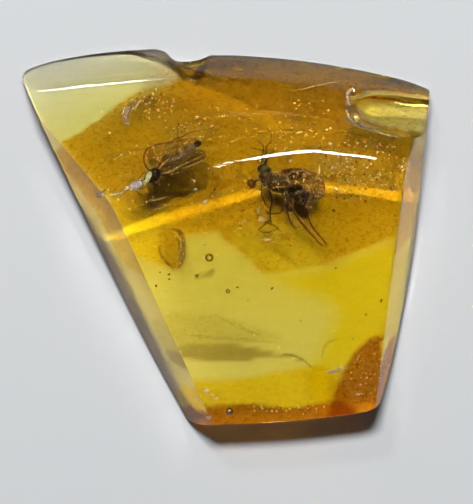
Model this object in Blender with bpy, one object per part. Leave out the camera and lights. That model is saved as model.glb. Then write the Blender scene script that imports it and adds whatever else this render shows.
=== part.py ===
"""A gnat and a fly sealed in a polished slip of clear amber.

The slip lies on its flat ground underside. Its top is two polished faces that meet in a low arched
ridge. Steep ground bevels bound it at the left and right, and it thins to a rim along its upper edge,
by facets at the left and a rounded shoulder at the right. The amber is parted in two at a level that
crosses both insects, so that each of them lies in a pocket open at the joint.
+X is the slip's right, +Y its upper edge and +Z up. The origin is under its middle, on the underside.
"""

import math

import bmesh
import bpy
from mathutils import Matrix, Vector

MM = 0.001

# The slip's outline, seen from above, in mm, clockwise from the left tip. Each side is a smooth curve
# through its points, and the sides meet in corners.
TOP_LEFT_SIDE = ((-14.05, 11.62), (-13.65, 11.80), (-11.95, 12.33), (-8.80, 12.85), (-4.95, 13.17))
NOTCH_SIDE = ((-4.25, 12.96), (-3.48, 12.29), (-2.01, 12.36), (-1.03, 12.71))
TOP_RIGHT_SIDE = (
    (-1.03, 12.71), (1.63, 12.66), (5.97, 12.24), (9.75, 11.60), (12.55, 10.96), (14.20, 10.32)
)
RIGHT_SIDE = ((14.29, 10.16), (13.93, 6.66), (13.18, -1.30), (11.99, -7.48), (10.87, -11.40))
CORNER_SIDE = ((10.75, -11.66), (10.31, -12.01), (9.40, -12.31))
BOTTOM_SIDE = ((9.40, -12.31), (4.50, -12.87), (-1.24, -13.17), (-2.50, -13.01))
LEFT_SIDE = ((-2.71, -12.80), (-5.79, -7.10), (-11.04, 3.93), (-13.65, 9.55), (-14.29, 11.14))
SIDES = (TOP_LEFT_SIDE, NOTCH_SIDE, TOP_RIGHT_SIDE, RIGHT_SIDE, CORNER_SIDE, BOTTOM_SIDE, LEFT_SIDE)
STEPS_PER_SPAN = 5
LEAST_STEP = 0.05

# The top: the apex of the ridge, the slopes of its two faces and how the upper one is domed.
APEX = Vector((7.30, 5.65, 5.20)) * MM
LOWER_SLOPE = 0.12
UPPER_SLOPE = 0.34
DOME_PER_MM = 0.0088
DOME_FROM_X = -1.0 * MM
DOME_TO_X = 13.0 * MM
DOME_FACETS = 8
BLANK_HEIGHT = 9.0 * MM

# The ground bevels: a point on each in mm, the heading that it faces and its tilt from level.
BEVELS = {
    "left bevel": ((-7.39, -3.55, 0.90), 208.3, 59.5),
    "right bevel": ((12.69, 5.68, 4.98), -9.6, 70.0),
    "foot bevel": ((-1.96, -12.00, 3.05), 215.0, 68.0),
    "top rim left": ((-10.27, 10.03, 1.83), 103.5, 25.5),
    "top rim right": ((-8.66, 10.45, 1.92), 106.7, 30.5),
}

# The rounded shoulder that thins the slip to its upper right edge: points on the edge in mm with the
# headings they face, the tilts of the facets that round it and its radius in mm.
SHOULDER_PLACES = (((1.20, 12.66, 0.50), 86.0), ((6.74, 12.10, 0.42), 81.5), ((11.60, 11.16, 0.50), 76.0))
SHOULDER_TILTS = (24.0, 33.5, 43.0, 52.5, 62.0)
SHOULDER_RADIUS = 8.6

# Chips: the middle of each hollow in plan, its two half widths and its depth in mm, its turn, and the
# heading and tilt of its floor where that isn't the tilt of the face it lies in.
CHIPS = {
    "corner_flake": ((13.00, 8.50), (5.50, 1.85), 1.15, -4.0, (66.0, 33.0)),
    "flake_scallop_low": ((8.90, 8.20), (0.80, 0.62), 0.32, 20.0, None),
    "flake_scallop_high": ((8.80, 9.95), (0.65, 0.85), 0.34, -20.0, None),
    "edge_chip": ((10.95, 11.25), (0.75, 0.55), 0.30, -12.0, None),
    "edge_nick": ((8.05, 11.85), (0.50, 0.36), 0.22, 0.0, None),
    "notch_chip": ((-2.43, 12.42), (1.30, 1.10), 0.80, 0.0, None),
}
CHIP_ROUNDNESS = 1.15

# The level of the joint between the two halves, which crosses both pockets, and how far it stands open.
JOINT_LEVEL = 2.65 * MM
HALF_GAP = 0.15 * MM

# The levels of the insects, and the pockets round them: place, half widths and turn, in mm and degrees.
GNAT_LEVEL = 2.50 * MM
FLY_LEVEL = 3.10 * MM
POCKETS = {
    "gnat_pocket": ((-4.00, 5.45), GNAT_LEVEL, (4.30, 2.60, 0.80), 30.0),
    "fly_pocket": ((4.48, 2.92), FLY_LEVEL, (5.10, 3.10, 0.90), -63.2),
}
POCKET_SQUARENESS = 0.55

# The insects, in mm, with heights measured from the level of each.
GNAT_BODY = {
    "gnat": ((-4.95, 4.31, 0.00), (0.56, 0.43, 0.42), 35.0),
    "gnat_head": ((-6.08, 3.54, 0.00), (0.44, 0.38, 0.36), 35.0),
    "gnat_neck": ((-5.46, 3.88, 0.02), (0.36, 0.42, 0.36), 35.0),
}
GNAT_ABDOMEN = (
    ((-4.74, 4.49, 0.00), 0.26),
    ((-4.04, 4.94, 0.00), 0.34),
    ((-3.20, 5.61, 0.02), 0.38),
    ((-2.50, 6.06, 0.04), 0.34),
    ((-1.87, 6.52, 0.05), 0.14),
)
GNAT_LIMBS = {
    "gnat_arch_leg": (
        (-5.02, 4.49, 0.10), (-5.58, 5.05, 0.20), (-5.68, 5.82, 0.24), (-5.37, 6.41, 0.24),
        (-4.46, 6.62, 0.20), (-3.48, 6.87, 0.14), (-2.36, 7.32, 0.05), (-1.59, 7.54, 0.00),
    ),
    "gnat_upright_leg": (
        (-4.81, 4.56, -0.10), (-4.18, 5.33, -0.20), (-3.43, 5.61, -0.24), (-3.41, 6.73, -0.12),
        (-3.41, 7.60, 0.00),
    ),
    "gnat_middle_leg": (
        (-4.81, 4.42, -0.10), (-4.39, 5.33, -0.30), (-3.76, 5.95, -0.36), (-3.34, 6.40, -0.40),
    ),
    "gnat_hind_leg": (
        (-4.74, 4.21, -0.05), (-4.04, 4.20, -0.18), (-3.41, 4.28, -0.22), (-2.50, 4.66, -0.20),
        (-1.87, 5.02, -0.16),
    ),
    "gnat_long_leg": (
        (-4.74, 4.35, 0.05), (-3.78, 4.45, 0.12), (-3.20, 4.80, 0.14), (-2.36, 5.16, 0.10),
        (-1.45, 5.68, 0.05),
    ),
    "gnat_fore_leg": ((-5.30, 3.93, -0.05), (-4.95, 3.55, -0.22), (-4.55, 3.75, -0.30)),
    "gnat_feeler_left": ((-6.21, 3.79, 0.10), (-5.98, 4.22, 0.22), (-5.62, 4.60, 0.26)),
    "gnat_feeler_right": ((-6.38, 3.42, 0.05), (-6.72, 3.20, 0.08), (-6.98, 3.14, 0.05)),
}
GNAT_WINGS = {
    "gnat_wing_upper": (
        (
            (-4.88, 4.40), (-5.25, 5.20), (-5.10, 5.95), (-4.39, 6.34), (-3.34, 6.66), (-2.36, 6.80),
            (-1.87, 6.59), (-2.50, 5.68), (-3.48, 4.98),
        ),
        0.30,
    ),
    "gnat_wing_lower": (
        (
            (-4.80, 4.22), (-3.76, 4.50), (-2.64, 4.84), (-1.59, 5.42), (-1.38, 5.84), (-2.08, 6.03),
            (-3.20, 5.54), (-4.18, 4.90),
        ),
        -0.10,
    ),
}
FLY_BODY = {
    "fly": ((3.38, 3.93, 0.00), (0.84, 0.54, 0.52), -25.0),
    "fly_head": ((2.68, 4.56, 0.02), (0.46, 0.38, 0.38), -20.0),
    "fly_eye": ((2.42, 5.02, 0.12), (0.27, 0.27, 0.27), 0.0),
}
FLY_ABDOMEN = (
    ((3.80, 3.82, 0.00), 0.42),
    ((4.36, 3.51, 0.00), 0.55),
    ((4.85, 3.23, 0.00), 0.56),
    ((5.27, 2.88, -0.02), 0.42),
    ((5.55, 2.53, -0.04), 0.16),
)
FLY_LIMBS = {
    "fly_hind_leg_left": (
        (5.20, 2.81, -0.05), (5.58, 2.32, 0.00), (5.69, 1.69, 0.02), (5.90, 0.85, 0.02),
        (6.48, -0.02, 0.00), (6.80, -0.50, -0.02),
    ),
    "fly_hind_leg_right": (
        (4.64, 3.09, -0.20), (4.50, 2.18, -0.28), (4.64, 1.69, -0.28), (4.92, 1.42, -0.26),
        (5.53, 0.59, -0.22), (6.28, -0.22, -0.18), (6.62, -0.60, -0.16),
    ),
    "fly_middle_leg_left": (
        (4.22, 3.23, -0.15), (4.57, 2.25, -0.10), (4.36, 1.41, -0.05), (4.92, 0.43, 0.00),
    ),
    "fly_middle_leg_right": (
        (3.80, 3.44, -0.20), (4.08, 2.53, -0.32), (4.05, 2.04, -0.35), (3.73, 1.55, -0.32),
        (3.30, 1.68, -0.25),
    ),
    "fly_fore_leg_left": (
        (2.96, 3.65, -0.15), (3.01, 3.16, -0.22), (3.22, 2.46, -0.18), (3.10, 1.50, -0.12),
        (3.17, 0.95, -0.10),
    ),
    "fly_fore_leg_right": (
        (2.68, 4.30, -0.15), (2.50, 3.30, -0.20), (2.62, 2.46, -0.12), (3.05, 1.95, -0.10),
    ),
    "fly_raised_leg": ((2.96, 3.93, 0.05), (2.30, 3.98, 0.12), (1.88, 3.68, 0.10), (1.74, 3.32, 0.05)),
    "fly_feeler_left": ((2.61, 4.70, 0.10), (2.74, 5.54, 0.22), (2.68, 6.06, 0.18), (2.30, 6.44, 0.12)),
    "fly_feeler_right": (
        (2.75, 4.70, 0.10), (2.90, 5.47, 0.20), (2.84, 5.96, 0.18), (3.14, 6.32, 0.14),
        (3.22, 6.66, 0.10),
    ),
    "fly_palp": ((2.54, 4.77, 0.00), (2.70, 5.50, 0.02), (2.40, 5.66, 0.02), (1.82, 5.84, 0.02)),
}
FLY_WINGS = {
    "fly_wing_right": (
        (
            (3.80, 3.86), (4.64, 4.42), (5.62, 4.59), (6.53, 4.28), (6.80, 3.51), (6.60, 2.74),
            (5.97, 2.39), (5.06, 2.60), (4.22, 3.23),
        ),
        0.26,
    ),
    "fly_wing_left": (
        ((3.52, 4.00), (3.59, 4.50), (4.50, 4.77), (5.62, 4.66), (5.41, 4.07), (4.22, 3.65)),
        0.06,
    ),
}
LEG_RADIUS = 0.085
LEG_TIP_SHARE = 0.62
LEG_SIDES = 6
LEG_STEPS_PER_SPAN = 2
WING_THICKNESS = 0.09
BALL_SEGMENTS = 16
BALL_RINGS = 10
POCKET_SEGMENTS = 32
POCKET_RINGS = 14
CHIP_DIVISIONS = 3
INSECT_SHARP_ANGLE = math.radians(40.0)
STONE_SHARP_ANGLE = math.radians(8.0)


def smooth_curve(points, steps):
    """Points along a Catmull-Rom curve through the given ones, from the first to the last."""
    knots = [Vector(p) for p in points]
    ends = [2 * knots[0] - knots[1]] + knots + [2 * knots[-1] - knots[-2]]
    curve = [knots[0]]
    for before, start, stop, after in zip(ends, ends[1:], ends[2:], ends[3:]):
        for step in range(1, steps + 1):
            t = step / steps
            bend = (2 * before - 5 * start + 4 * stop - after) * t * t
            twist = (3 * start - before - 3 * stop + after) * t * t * t
            curve.append(0.5 * (2 * start + (stop - before) * t + bend + twist))
    return curve


def outline():
    """The slip's outline in metres, anticlockwise, with its bounding box centred on the origin."""
    points = []
    for side in SIDES:
        for point in smooth_curve(side, STEPS_PER_SPAN):
            if not points or (point - points[-1]).length > LEAST_STEP:
                points.append(point)
    middle_x = (max(p.x for p in points) + min(p.x for p in points)) / 2
    middle_y = (max(p.y for p in points) + min(p.y for p in points)) / 2
    middle = Vector((middle_x, middle_y))
    return [(p - middle) * MM for p in reversed(points)]


def facing(heading, tilt):
    """The normal of a face that leans by tilt from level towards heading, both in degrees."""
    around, lean = math.radians(heading), math.radians(tilt)
    return Vector((math.sin(lean) * math.cos(around), math.sin(lean) * math.sin(around), math.cos(lean)))


def top_faces():
    """Every polished and ground face of the top, as a point on it and its normal."""
    faces = [(APEX, Vector((0.0, -LOWER_SLOPE, 1.0)).normalized())]
    dome = DOME_PER_MM / MM
    for number in range(DOME_FACETS):
        x = DOME_FROM_X + (DOME_TO_X - DOME_FROM_X) * number / (DOME_FACETS - 1)
        drop = dome * (x - APEX.x) ** 2
        normal = Vector((2 * dome * (x - APEX.x), UPPER_SLOPE, 1.0)).normalized()
        faces.append((Vector((x, APEX.y, APEX.z - drop)), normal))
    for point, heading, tilt in BEVELS.values():
        faces.append((Vector(point) * MM, facing(heading, tilt)))
    for place, heading in SHOULDER_PLACES:
        middle = Vector(place) - SHOULDER_RADIUS * facing(heading, SHOULDER_TILTS[-1])
        for tilt in SHOULDER_TILTS:
            normal = facing(heading, tilt)
            faces.append(((middle + SHOULDER_RADIUS * normal) * MM, normal))
    return faces


def top_height(x, y):
    """How high the unchipped top is above the underside at a place in plan, and the normal there."""
    heights = []
    for point, normal in top_faces():
        fall = (normal.x * (x - point.x) + normal.y * (y - point.y)) / normal.z
        heights.append((point.z - fall, normal))
    return min(heights, key=lambda pair: pair[0])


def grind(slip, point, normal):
    """Cuts away what lies beyond a plane and closes the cut with one flat face."""
    everything = slip.verts[:] + slip.edges[:] + slip.faces[:]
    cut = bmesh.ops.bisect_plane(
        slip, geom=everything, dist=1e-7, plane_co=point, plane_no=normal, clear_outer=True
    )
    rim = [item for item in cut["geom_cut"] if isinstance(item, bmesh.types.BMEdge)]
    if rim:
        bmesh.ops.edgeloop_fill(slip, edges=rim)


def add_object(name, shape, material, smooth_angle=INSECT_SHARP_ANGLE):
    """Turns a bmesh into an object with one material, shaded smooth up to an angle."""
    bmesh.ops.recalc_face_normals(shape, faces=shape.faces)
    mesh = bpy.data.meshes.new(name)
    shape.to_mesh(mesh)
    shape.free()
    mesh.shade_smooth()
    mesh.set_sharp_from_angle(angle=smooth_angle)
    mesh.materials.append(material)
    piece = bpy.data.objects.new(name, mesh)
    bpy.context.scene.collection.objects.link(piece)
    return piece


def helper(piece):
    """Marks an object as a helper for Booleans, not a piece of the model."""
    piece.hide_render = True
    piece.display_type = "WIRE"
    return piece


def combine(piece, helpers, operation):
    """Adds one Boolean to a piece for each helper."""
    for other in helpers:
        step = piece.modifiers.new(other.name, "BOOLEAN")
        step.operation = operation
        step.solver = "EXACT"
        step.object = other


def amber_half(name, material, level, side):
    """The part of the slip above the joint (side 1) or below it (side -1), without chips or pockets."""
    slip = bmesh.new()
    base = slip.faces.new([slip.verts.new((p.x, p.y, 0.0)) for p in outline()])
    walls = bmesh.ops.extrude_face_region(slip, geom=[base])
    raised = [item for item in walls["geom"] if isinstance(item, bmesh.types.BMVert)]
    bmesh.ops.translate(slip, verts=raised, vec=(0.0, 0.0, BLANK_HEIGHT))
    for point, normal in top_faces():
        grind(slip, point, normal)
    grind(slip, Vector((0.0, 0.0, level)), Vector((0.0, 0.0, -side)))
    return add_object(name, slip, material, STONE_SHARP_ANGLE)


def chip_cutter(name, place, widths, depth, turn, floor_facing, material):
    """An egg-shaped cutter whose lower cap is the hollow that a flake leaves in the top."""
    x, y = place[0] * MM, place[1] * MM
    height, normal = top_height(x, y)
    if floor_facing:
        normal = facing(*floor_facing)
    thick = depth * CHIP_ROUNDNESS
    sink = (thick - depth) / thick
    spread = 1 / math.sqrt(1 - sink * sink)
    cutter = bmesh.new()
    bmesh.ops.create_icosphere(cutter, subdivisions=CHIP_DIVISIONS, radius=MM)
    size = Matrix.Diagonal((widths[0] * spread, widths[1] * spread, thick, 1.0))
    centre = Vector((x, y, height)) + normal * (thick - depth) * MM
    lean = Vector((0.0, 0.0, 1.0)).rotation_difference(normal).to_matrix().to_4x4()
    spin = Matrix.Rotation(math.radians(turn), 4, "Z")
    cutter.transform(Matrix.Translation(centre) @ lean @ spin @ size)
    return helper(add_object(name, cutter, material))


def pocket_cutter(name, place, level, widths, turn, material):
    """A flattened round pocket that clears an insect on every side."""
    pocket = bmesh.new()
    bmesh.ops.create_uvsphere(pocket, u_segments=POCKET_SEGMENTS, v_segments=POCKET_RINGS, radius=1.0)
    for vert in pocket.verts:
        flat = math.hypot(vert.co.x, vert.co.y)
        if flat > 1e-6:
            grow = flat ** POCKET_SQUARENESS / flat
            vert.co.x *= grow
            vert.co.y *= grow
        vert.co.z = math.copysign(abs(vert.co.z) ** POCKET_SQUARENESS, vert.co.z)
    size = Matrix.Diagonal((widths[0] * MM, widths[1] * MM, widths[2] * MM, 1.0))
    spin = Matrix.Rotation(math.radians(turn), 4, "Z")
    centre = Vector((place[0] * MM, place[1] * MM, level))
    pocket.transform(Matrix.Translation(centre) @ spin @ size)
    return helper(add_object(name, pocket, material))


def insect_place(point, level):
    """A place in an insect, from mm above its level to metres above the underside."""
    return Vector((point[0] * MM, point[1] * MM, point[2] * MM + level))


def ball(name, place, radii, turn, level, material):
    """A rounded body part."""
    shape = bmesh.new()
    bmesh.ops.create_uvsphere(shape, u_segments=BALL_SEGMENTS, v_segments=BALL_RINGS, radius=MM)
    size = Matrix.Diagonal((*radii, 1.0))
    spin = Matrix.Rotation(math.radians(turn), 4, "Z")
    shape.transform(Matrix.Translation(insect_place(place, level)) @ spin @ size)
    return add_object(name, shape, material)


def tube(name, points, radii, material):
    """A closed round tube along a path, with a radius at each point in mm."""
    shape = bmesh.new()
    rings = []
    across = Vector((0.0, 0.0, 1.0))
    for index, point in enumerate(points):
        ahead = points[min(index + 1, len(points) - 1)] - points[max(index - 1, 0)]
        sideways = ahead.cross(across).normalized()
        upward = sideways.cross(ahead).normalized()
        ring = []
        for corner in range(LEG_SIDES):
            angle = 2 * math.pi * corner / LEG_SIDES
            reach = (sideways * math.cos(angle) + upward * math.sin(angle)) * radii[index] * MM
            ring.append(shape.verts.new(point + reach))
        rings.append(ring)
    for near, far in zip(rings, rings[1:]):
        for corner in range(LEG_SIDES):
            after = (corner + 1) % LEG_SIDES
            shape.faces.new((near[corner], near[after], far[after], far[corner]))
    shape.faces.new(rings[0])
    shape.faces.new(rings[-1])
    return add_object(name, shape, material)


def leg(name, knots, level, material):
    """A leg or feeler that thins towards its tip."""
    path = smooth_curve([insect_place(k, level) for k in knots], LEG_STEPS_PER_SPAN)
    last = len(path) - 1
    radii = [LEG_RADIUS * (1 - (1 - LEG_TIP_SHARE) * i / last) for i in range(last + 1)]
    return tube(name, path, radii, material)


def abdomen(name, rings, level, material):
    """A swollen tapering abdomen, through its widths along the body."""
    knots = [(*insect_place(place, level), radius) for place, radius in rings]
    path = smooth_curve([Vector(k) for k in knots], LEG_STEPS_PER_SPAN)
    return tube(name, [p.xyz for p in path], [p.w for p in path], material)


def wing(name, points, height, level, material):
    """A flat wing with a smooth outline."""
    closed = list(points) + [points[0]]
    rim = smooth_curve([Vector(p) for p in closed], LEG_STEPS_PER_SPAN)[:-1]
    shape = bmesh.new()
    blade = shape.faces.new([shape.verts.new(insect_place((p.x, p.y, height), level)) for p in rim])
    walls = bmesh.ops.extrude_face_region(shape, geom=[blade])
    raised = [item for item in walls["geom"] if isinstance(item, bmesh.types.BMVert)]
    bmesh.ops.translate(shape, verts=raised, vec=(0.0, 0.0, WING_THICKNESS * MM))
    return add_object(name, shape, material)


def insect(body, abdomen_rings, limbs, wings, level, material):
    """One insect: its thorax joined with its head, abdomen, legs, feelers and wings."""
    names = list(body)
    thorax = ball(names[0], *body[names[0]], level, material)
    parts = [ball(name, *body[name], level, material) for name in names[1:]]
    parts.append(abdomen(thorax.name + "_abdomen", abdomen_rings, level, material))
    parts += [leg(name, knots, level, material) for name, knots in limbs.items()]
    parts += [wing(name, points, height, level, material) for name, (points, height) in wings.items()]
    combine(thorax, [helper(part) for part in parts], "UNION")
    return thorax


def plain_material(name, colour, roughness, transmission=0.0, ior=1.5):
    """A Principled material."""
    material = bpy.data.materials.new(name)
    material.use_nodes = True
    surface = material.node_tree.nodes["Principled BSDF"]
    surface.inputs["Base Color"].default_value = (*colour, 1.0)
    surface.inputs["Roughness"].default_value = roughness
    surface.inputs["Metallic"].default_value = 0.0
    surface.inputs["Transmission Weight"].default_value = transmission
    surface.inputs["IOR"].default_value = ior
    return material


def main():
    for old in list(bpy.data.objects):
        bpy.data.objects.remove(old)

    amber = plain_material("clear_amber", (0.78, 0.46, 0.05), 0.06, transmission=1.0, ior=1.54)
    gnat_brown = plain_material("gnat_brown", (0.16, 0.10, 0.06), 0.55)
    fly_brown = plain_material("fly_brown", (0.12, 0.07, 0.045), 0.55)

    cutters = [chip_cutter(name, *chip, amber) for name, chip in CHIPS.items()]
    cutters += [pocket_cutter(name, *pocket, amber) for name, pocket in POCKETS.items()]
    lower = amber_half("amber_lower", amber, JOINT_LEVEL - HALF_GAP, -1)
    upper = amber_half("amber_upper", amber, JOINT_LEVEL + HALF_GAP, 1)
    combine(lower, cutters, "DIFFERENCE")
    combine(upper, cutters, "DIFFERENCE")

    insect(GNAT_BODY, GNAT_ABDOMEN, GNAT_LIMBS, GNAT_WINGS, GNAT_LEVEL, gnat_brown)
    insect(FLY_BODY, FLY_ABDOMEN, FLY_LIMBS, FLY_WINGS, FLY_LEVEL, fly_brown)


main()
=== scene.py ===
"""Looks of a gnat and a fly sealed in a polished slip of clear amber, lying on pale paper."""

import math
import random

import bmesh
import bpy
import numpy as np
from mathutils import Matrix, Vector, noise

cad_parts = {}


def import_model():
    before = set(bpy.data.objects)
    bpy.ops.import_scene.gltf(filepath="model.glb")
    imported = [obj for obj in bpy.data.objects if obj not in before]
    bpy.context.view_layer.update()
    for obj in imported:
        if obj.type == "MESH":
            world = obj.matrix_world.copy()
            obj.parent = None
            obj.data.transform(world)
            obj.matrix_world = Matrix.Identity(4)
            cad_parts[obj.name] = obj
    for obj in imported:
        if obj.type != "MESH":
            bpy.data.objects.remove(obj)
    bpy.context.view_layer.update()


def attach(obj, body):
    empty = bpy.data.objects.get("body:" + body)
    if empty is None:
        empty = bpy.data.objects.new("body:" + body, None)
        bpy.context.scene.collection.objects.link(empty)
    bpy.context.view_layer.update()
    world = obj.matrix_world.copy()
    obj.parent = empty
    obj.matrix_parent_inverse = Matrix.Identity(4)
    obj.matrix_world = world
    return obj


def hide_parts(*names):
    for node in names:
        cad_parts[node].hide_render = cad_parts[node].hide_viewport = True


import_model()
MM = 0.001
UP = Vector((0.0, 0.0, 1.0))

# The slip, with the same driving dimensions as the CAD: see part.py. Plan points are in mm.
TOP_LEFT_SIDE = ((-14.05, 11.62), (-13.65, 11.80), (-11.95, 12.33), (-8.80, 12.85), (-4.95, 13.17))
NOTCH_SIDE = ((-4.25, 12.96), (-3.48, 12.29), (-2.01, 12.36), (-1.03, 12.71))
TOP_RIGHT_SIDE = ((-1.03, 12.71), (1.63, 12.66), (5.97, 12.24), (9.75, 11.60), (12.55, 10.96), (14.20, 10.32))
RIGHT_SIDE = ((14.29, 10.16), (13.93, 6.66), (13.18, -1.30), (11.99, -7.48), (10.87, -11.40))
CORNER_SIDE = ((10.75, -11.66), (10.31, -12.01), (9.40, -12.31))
BOTTOM_SIDE = ((9.40, -12.31), (4.50, -12.87), (-1.24, -13.17), (-2.50, -13.01))
LEFT_SIDE = ((-2.71, -12.80), (-5.79, -7.10), (-11.04, 3.93), (-13.65, 9.55), (-14.29, 11.14))
SIDES = (TOP_LEFT_SIDE, NOTCH_SIDE, TOP_RIGHT_SIDE, RIGHT_SIDE, CORNER_SIDE, BOTTOM_SIDE, LEFT_SIDE)
STEPS_PER_SPAN = 9
LEAST_STEP = 0.05
APEX = Vector((7.30, 5.65, 5.20)) * MM
LOWER_SLOPE = 0.12
UPPER_SLOPE = 0.34
DOME_PER_MM = 0.0088
DOME_FROM_X = -1.0 * MM
DOME_TO_X = 13.0 * MM
DOME_FACETS = 24
BLANK_HEIGHT = 9.0 * MM
BEVELS = {
    "left bevel": ((-7.39, -3.55, 0.90), 208.3, 59.5),
    "right bevel": ((12.69, 5.68, 4.98), -9.6, 70.0),
    "foot bevel": ((-1.96, -12.00, 3.05), 215.0, 68.0),
    "top rim left": ((-10.27, 10.03, 2.13), 103.5, 25.5),
    "top rim right": ((-8.66, 10.45, 1.92), 106.7, 30.5),
}
# The rounded shoulder of the upper right edge: points on the edge with their headings, tilts and its radius.
SHOULDER_PLACES = (((1.20, 12.66, 0.50), 86.0), ((6.74, 12.10, 0.42), 81.5), ((11.60, 11.16, 0.50), 76.0))
SHOULDER_TILTS = (22.0, 26.0, 30.0, 34.0, 38.0, 42.0, 46.0, 50.0, 54.0, 58.0, 62.0)
SHOULDER_RADIUS = 8.6
ARRIS = 0.11 * MM
ARRIS_SEGMENTS = 3
ARRIS_FROM_ANGLE = math.radians(6.0)

# Chips: middle, half widths, depth, turn and the heading and tilt of its floor where that isn't the face's
# own, then where the blow fell and how far apart its ripples are.
CHIPS = {
    "corner_flake": ((13.00, 8.50), (5.50, 1.85), 1.15, -4.0, (66.0, 33.0), (14.2, 9.6), 0.62),
    "flake_scallop_low": ((8.90, 8.20), (0.80, 0.62), 0.32, 20.0, None, (9.5, 8.5), 0.30),
    "flake_scallop_high": ((8.80, 9.95), (0.65, 0.85), 0.34, -20.0, None, (9.3, 10.3), 0.34),
    "edge_chip": ((10.95, 11.25), (0.75, 0.55), 0.30, -12.0, None, (11.0, 11.8), 0.25),
    "edge_nick": ((8.05, 11.85), (0.50, 0.36), 0.22, 0.0, None, (8.1, 12.2), 0.20),
    "notch_chip": ((-2.43, 12.42), (1.30, 1.10), 0.80, 0.0, None, (-2.3, 13.1), 0.35),
}
CHIP_SPOKES = 72
CHIP_RINGS = 30
CHIP_FLATNESS = 2.6
RIPPLE_HEIGHT = 0.022

# The polished edges are rounded a little: between which faces, the radius in mm and the facets that round them.
RIDGE_RADIUS = 2.0
RIDGE_RADIUS_LEFT = 3.0
RIM_RADIUS = 4.0
ROUNDING_FACETS = 6

AMBER_IOR = 1.54
GNAT_LEVEL = 2.50
FLY_LEVEL = 3.10

# The darker flow of resin at the bottom of the slip: its outline as seen from above, its floor and its top,
# which rises towards +Y.
DARK_OUTLINE = (
    (-9.85, 3.93), (-9.15, 3.23), (-7.96, 2.53), (-6.70, 2.18), (-5.30, 2.18), (-4.25, 1.69), (-3.55, 0.99),
    (-3.06, 0.08), (-1.80, 0.25), (-0.40, 0.36), (-0.12, -0.27), (1.00, -0.97), (1.70, -1.67), (2.40, -2.37),
    (3.10, -2.65), (4.85, -2.37), (6.60, -2.02), (8.35, -1.32), (10.10, -0.69), (11.64, -0.06), (14.00, 0.29),
    (15.00, 6.60), (12.60, 6.90), (10.30, 7.40), (8.90, 8.00), (8.55, 8.90), (8.90, 9.90), (10.70, 10.25),
    (15.00, 9.90), (15.00, 11.50), (12.20, 12.30), (8.35, 13.00), (1.70, 13.60), (-0.96, 13.60), (-2.50, 13.20),
    (-3.41, 12.40), (-3.55, 10.93), (-6.00, 10.23), (-7.05, 9.67), (-7.96, 8.97), (-8.80, 8.27), (-9.64, 7.78),
    (-10.34, 7.22), (-11.80, 6.38), (-10.83, 5.05),
)
DARK_FLOOR = 0.08
DARK_TOP = 1.15
DARK_TOP_RISE = 0.09
FLOW_INSET = 0.06
FLOW_SHIFT_FROM_Y = 9.0

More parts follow.
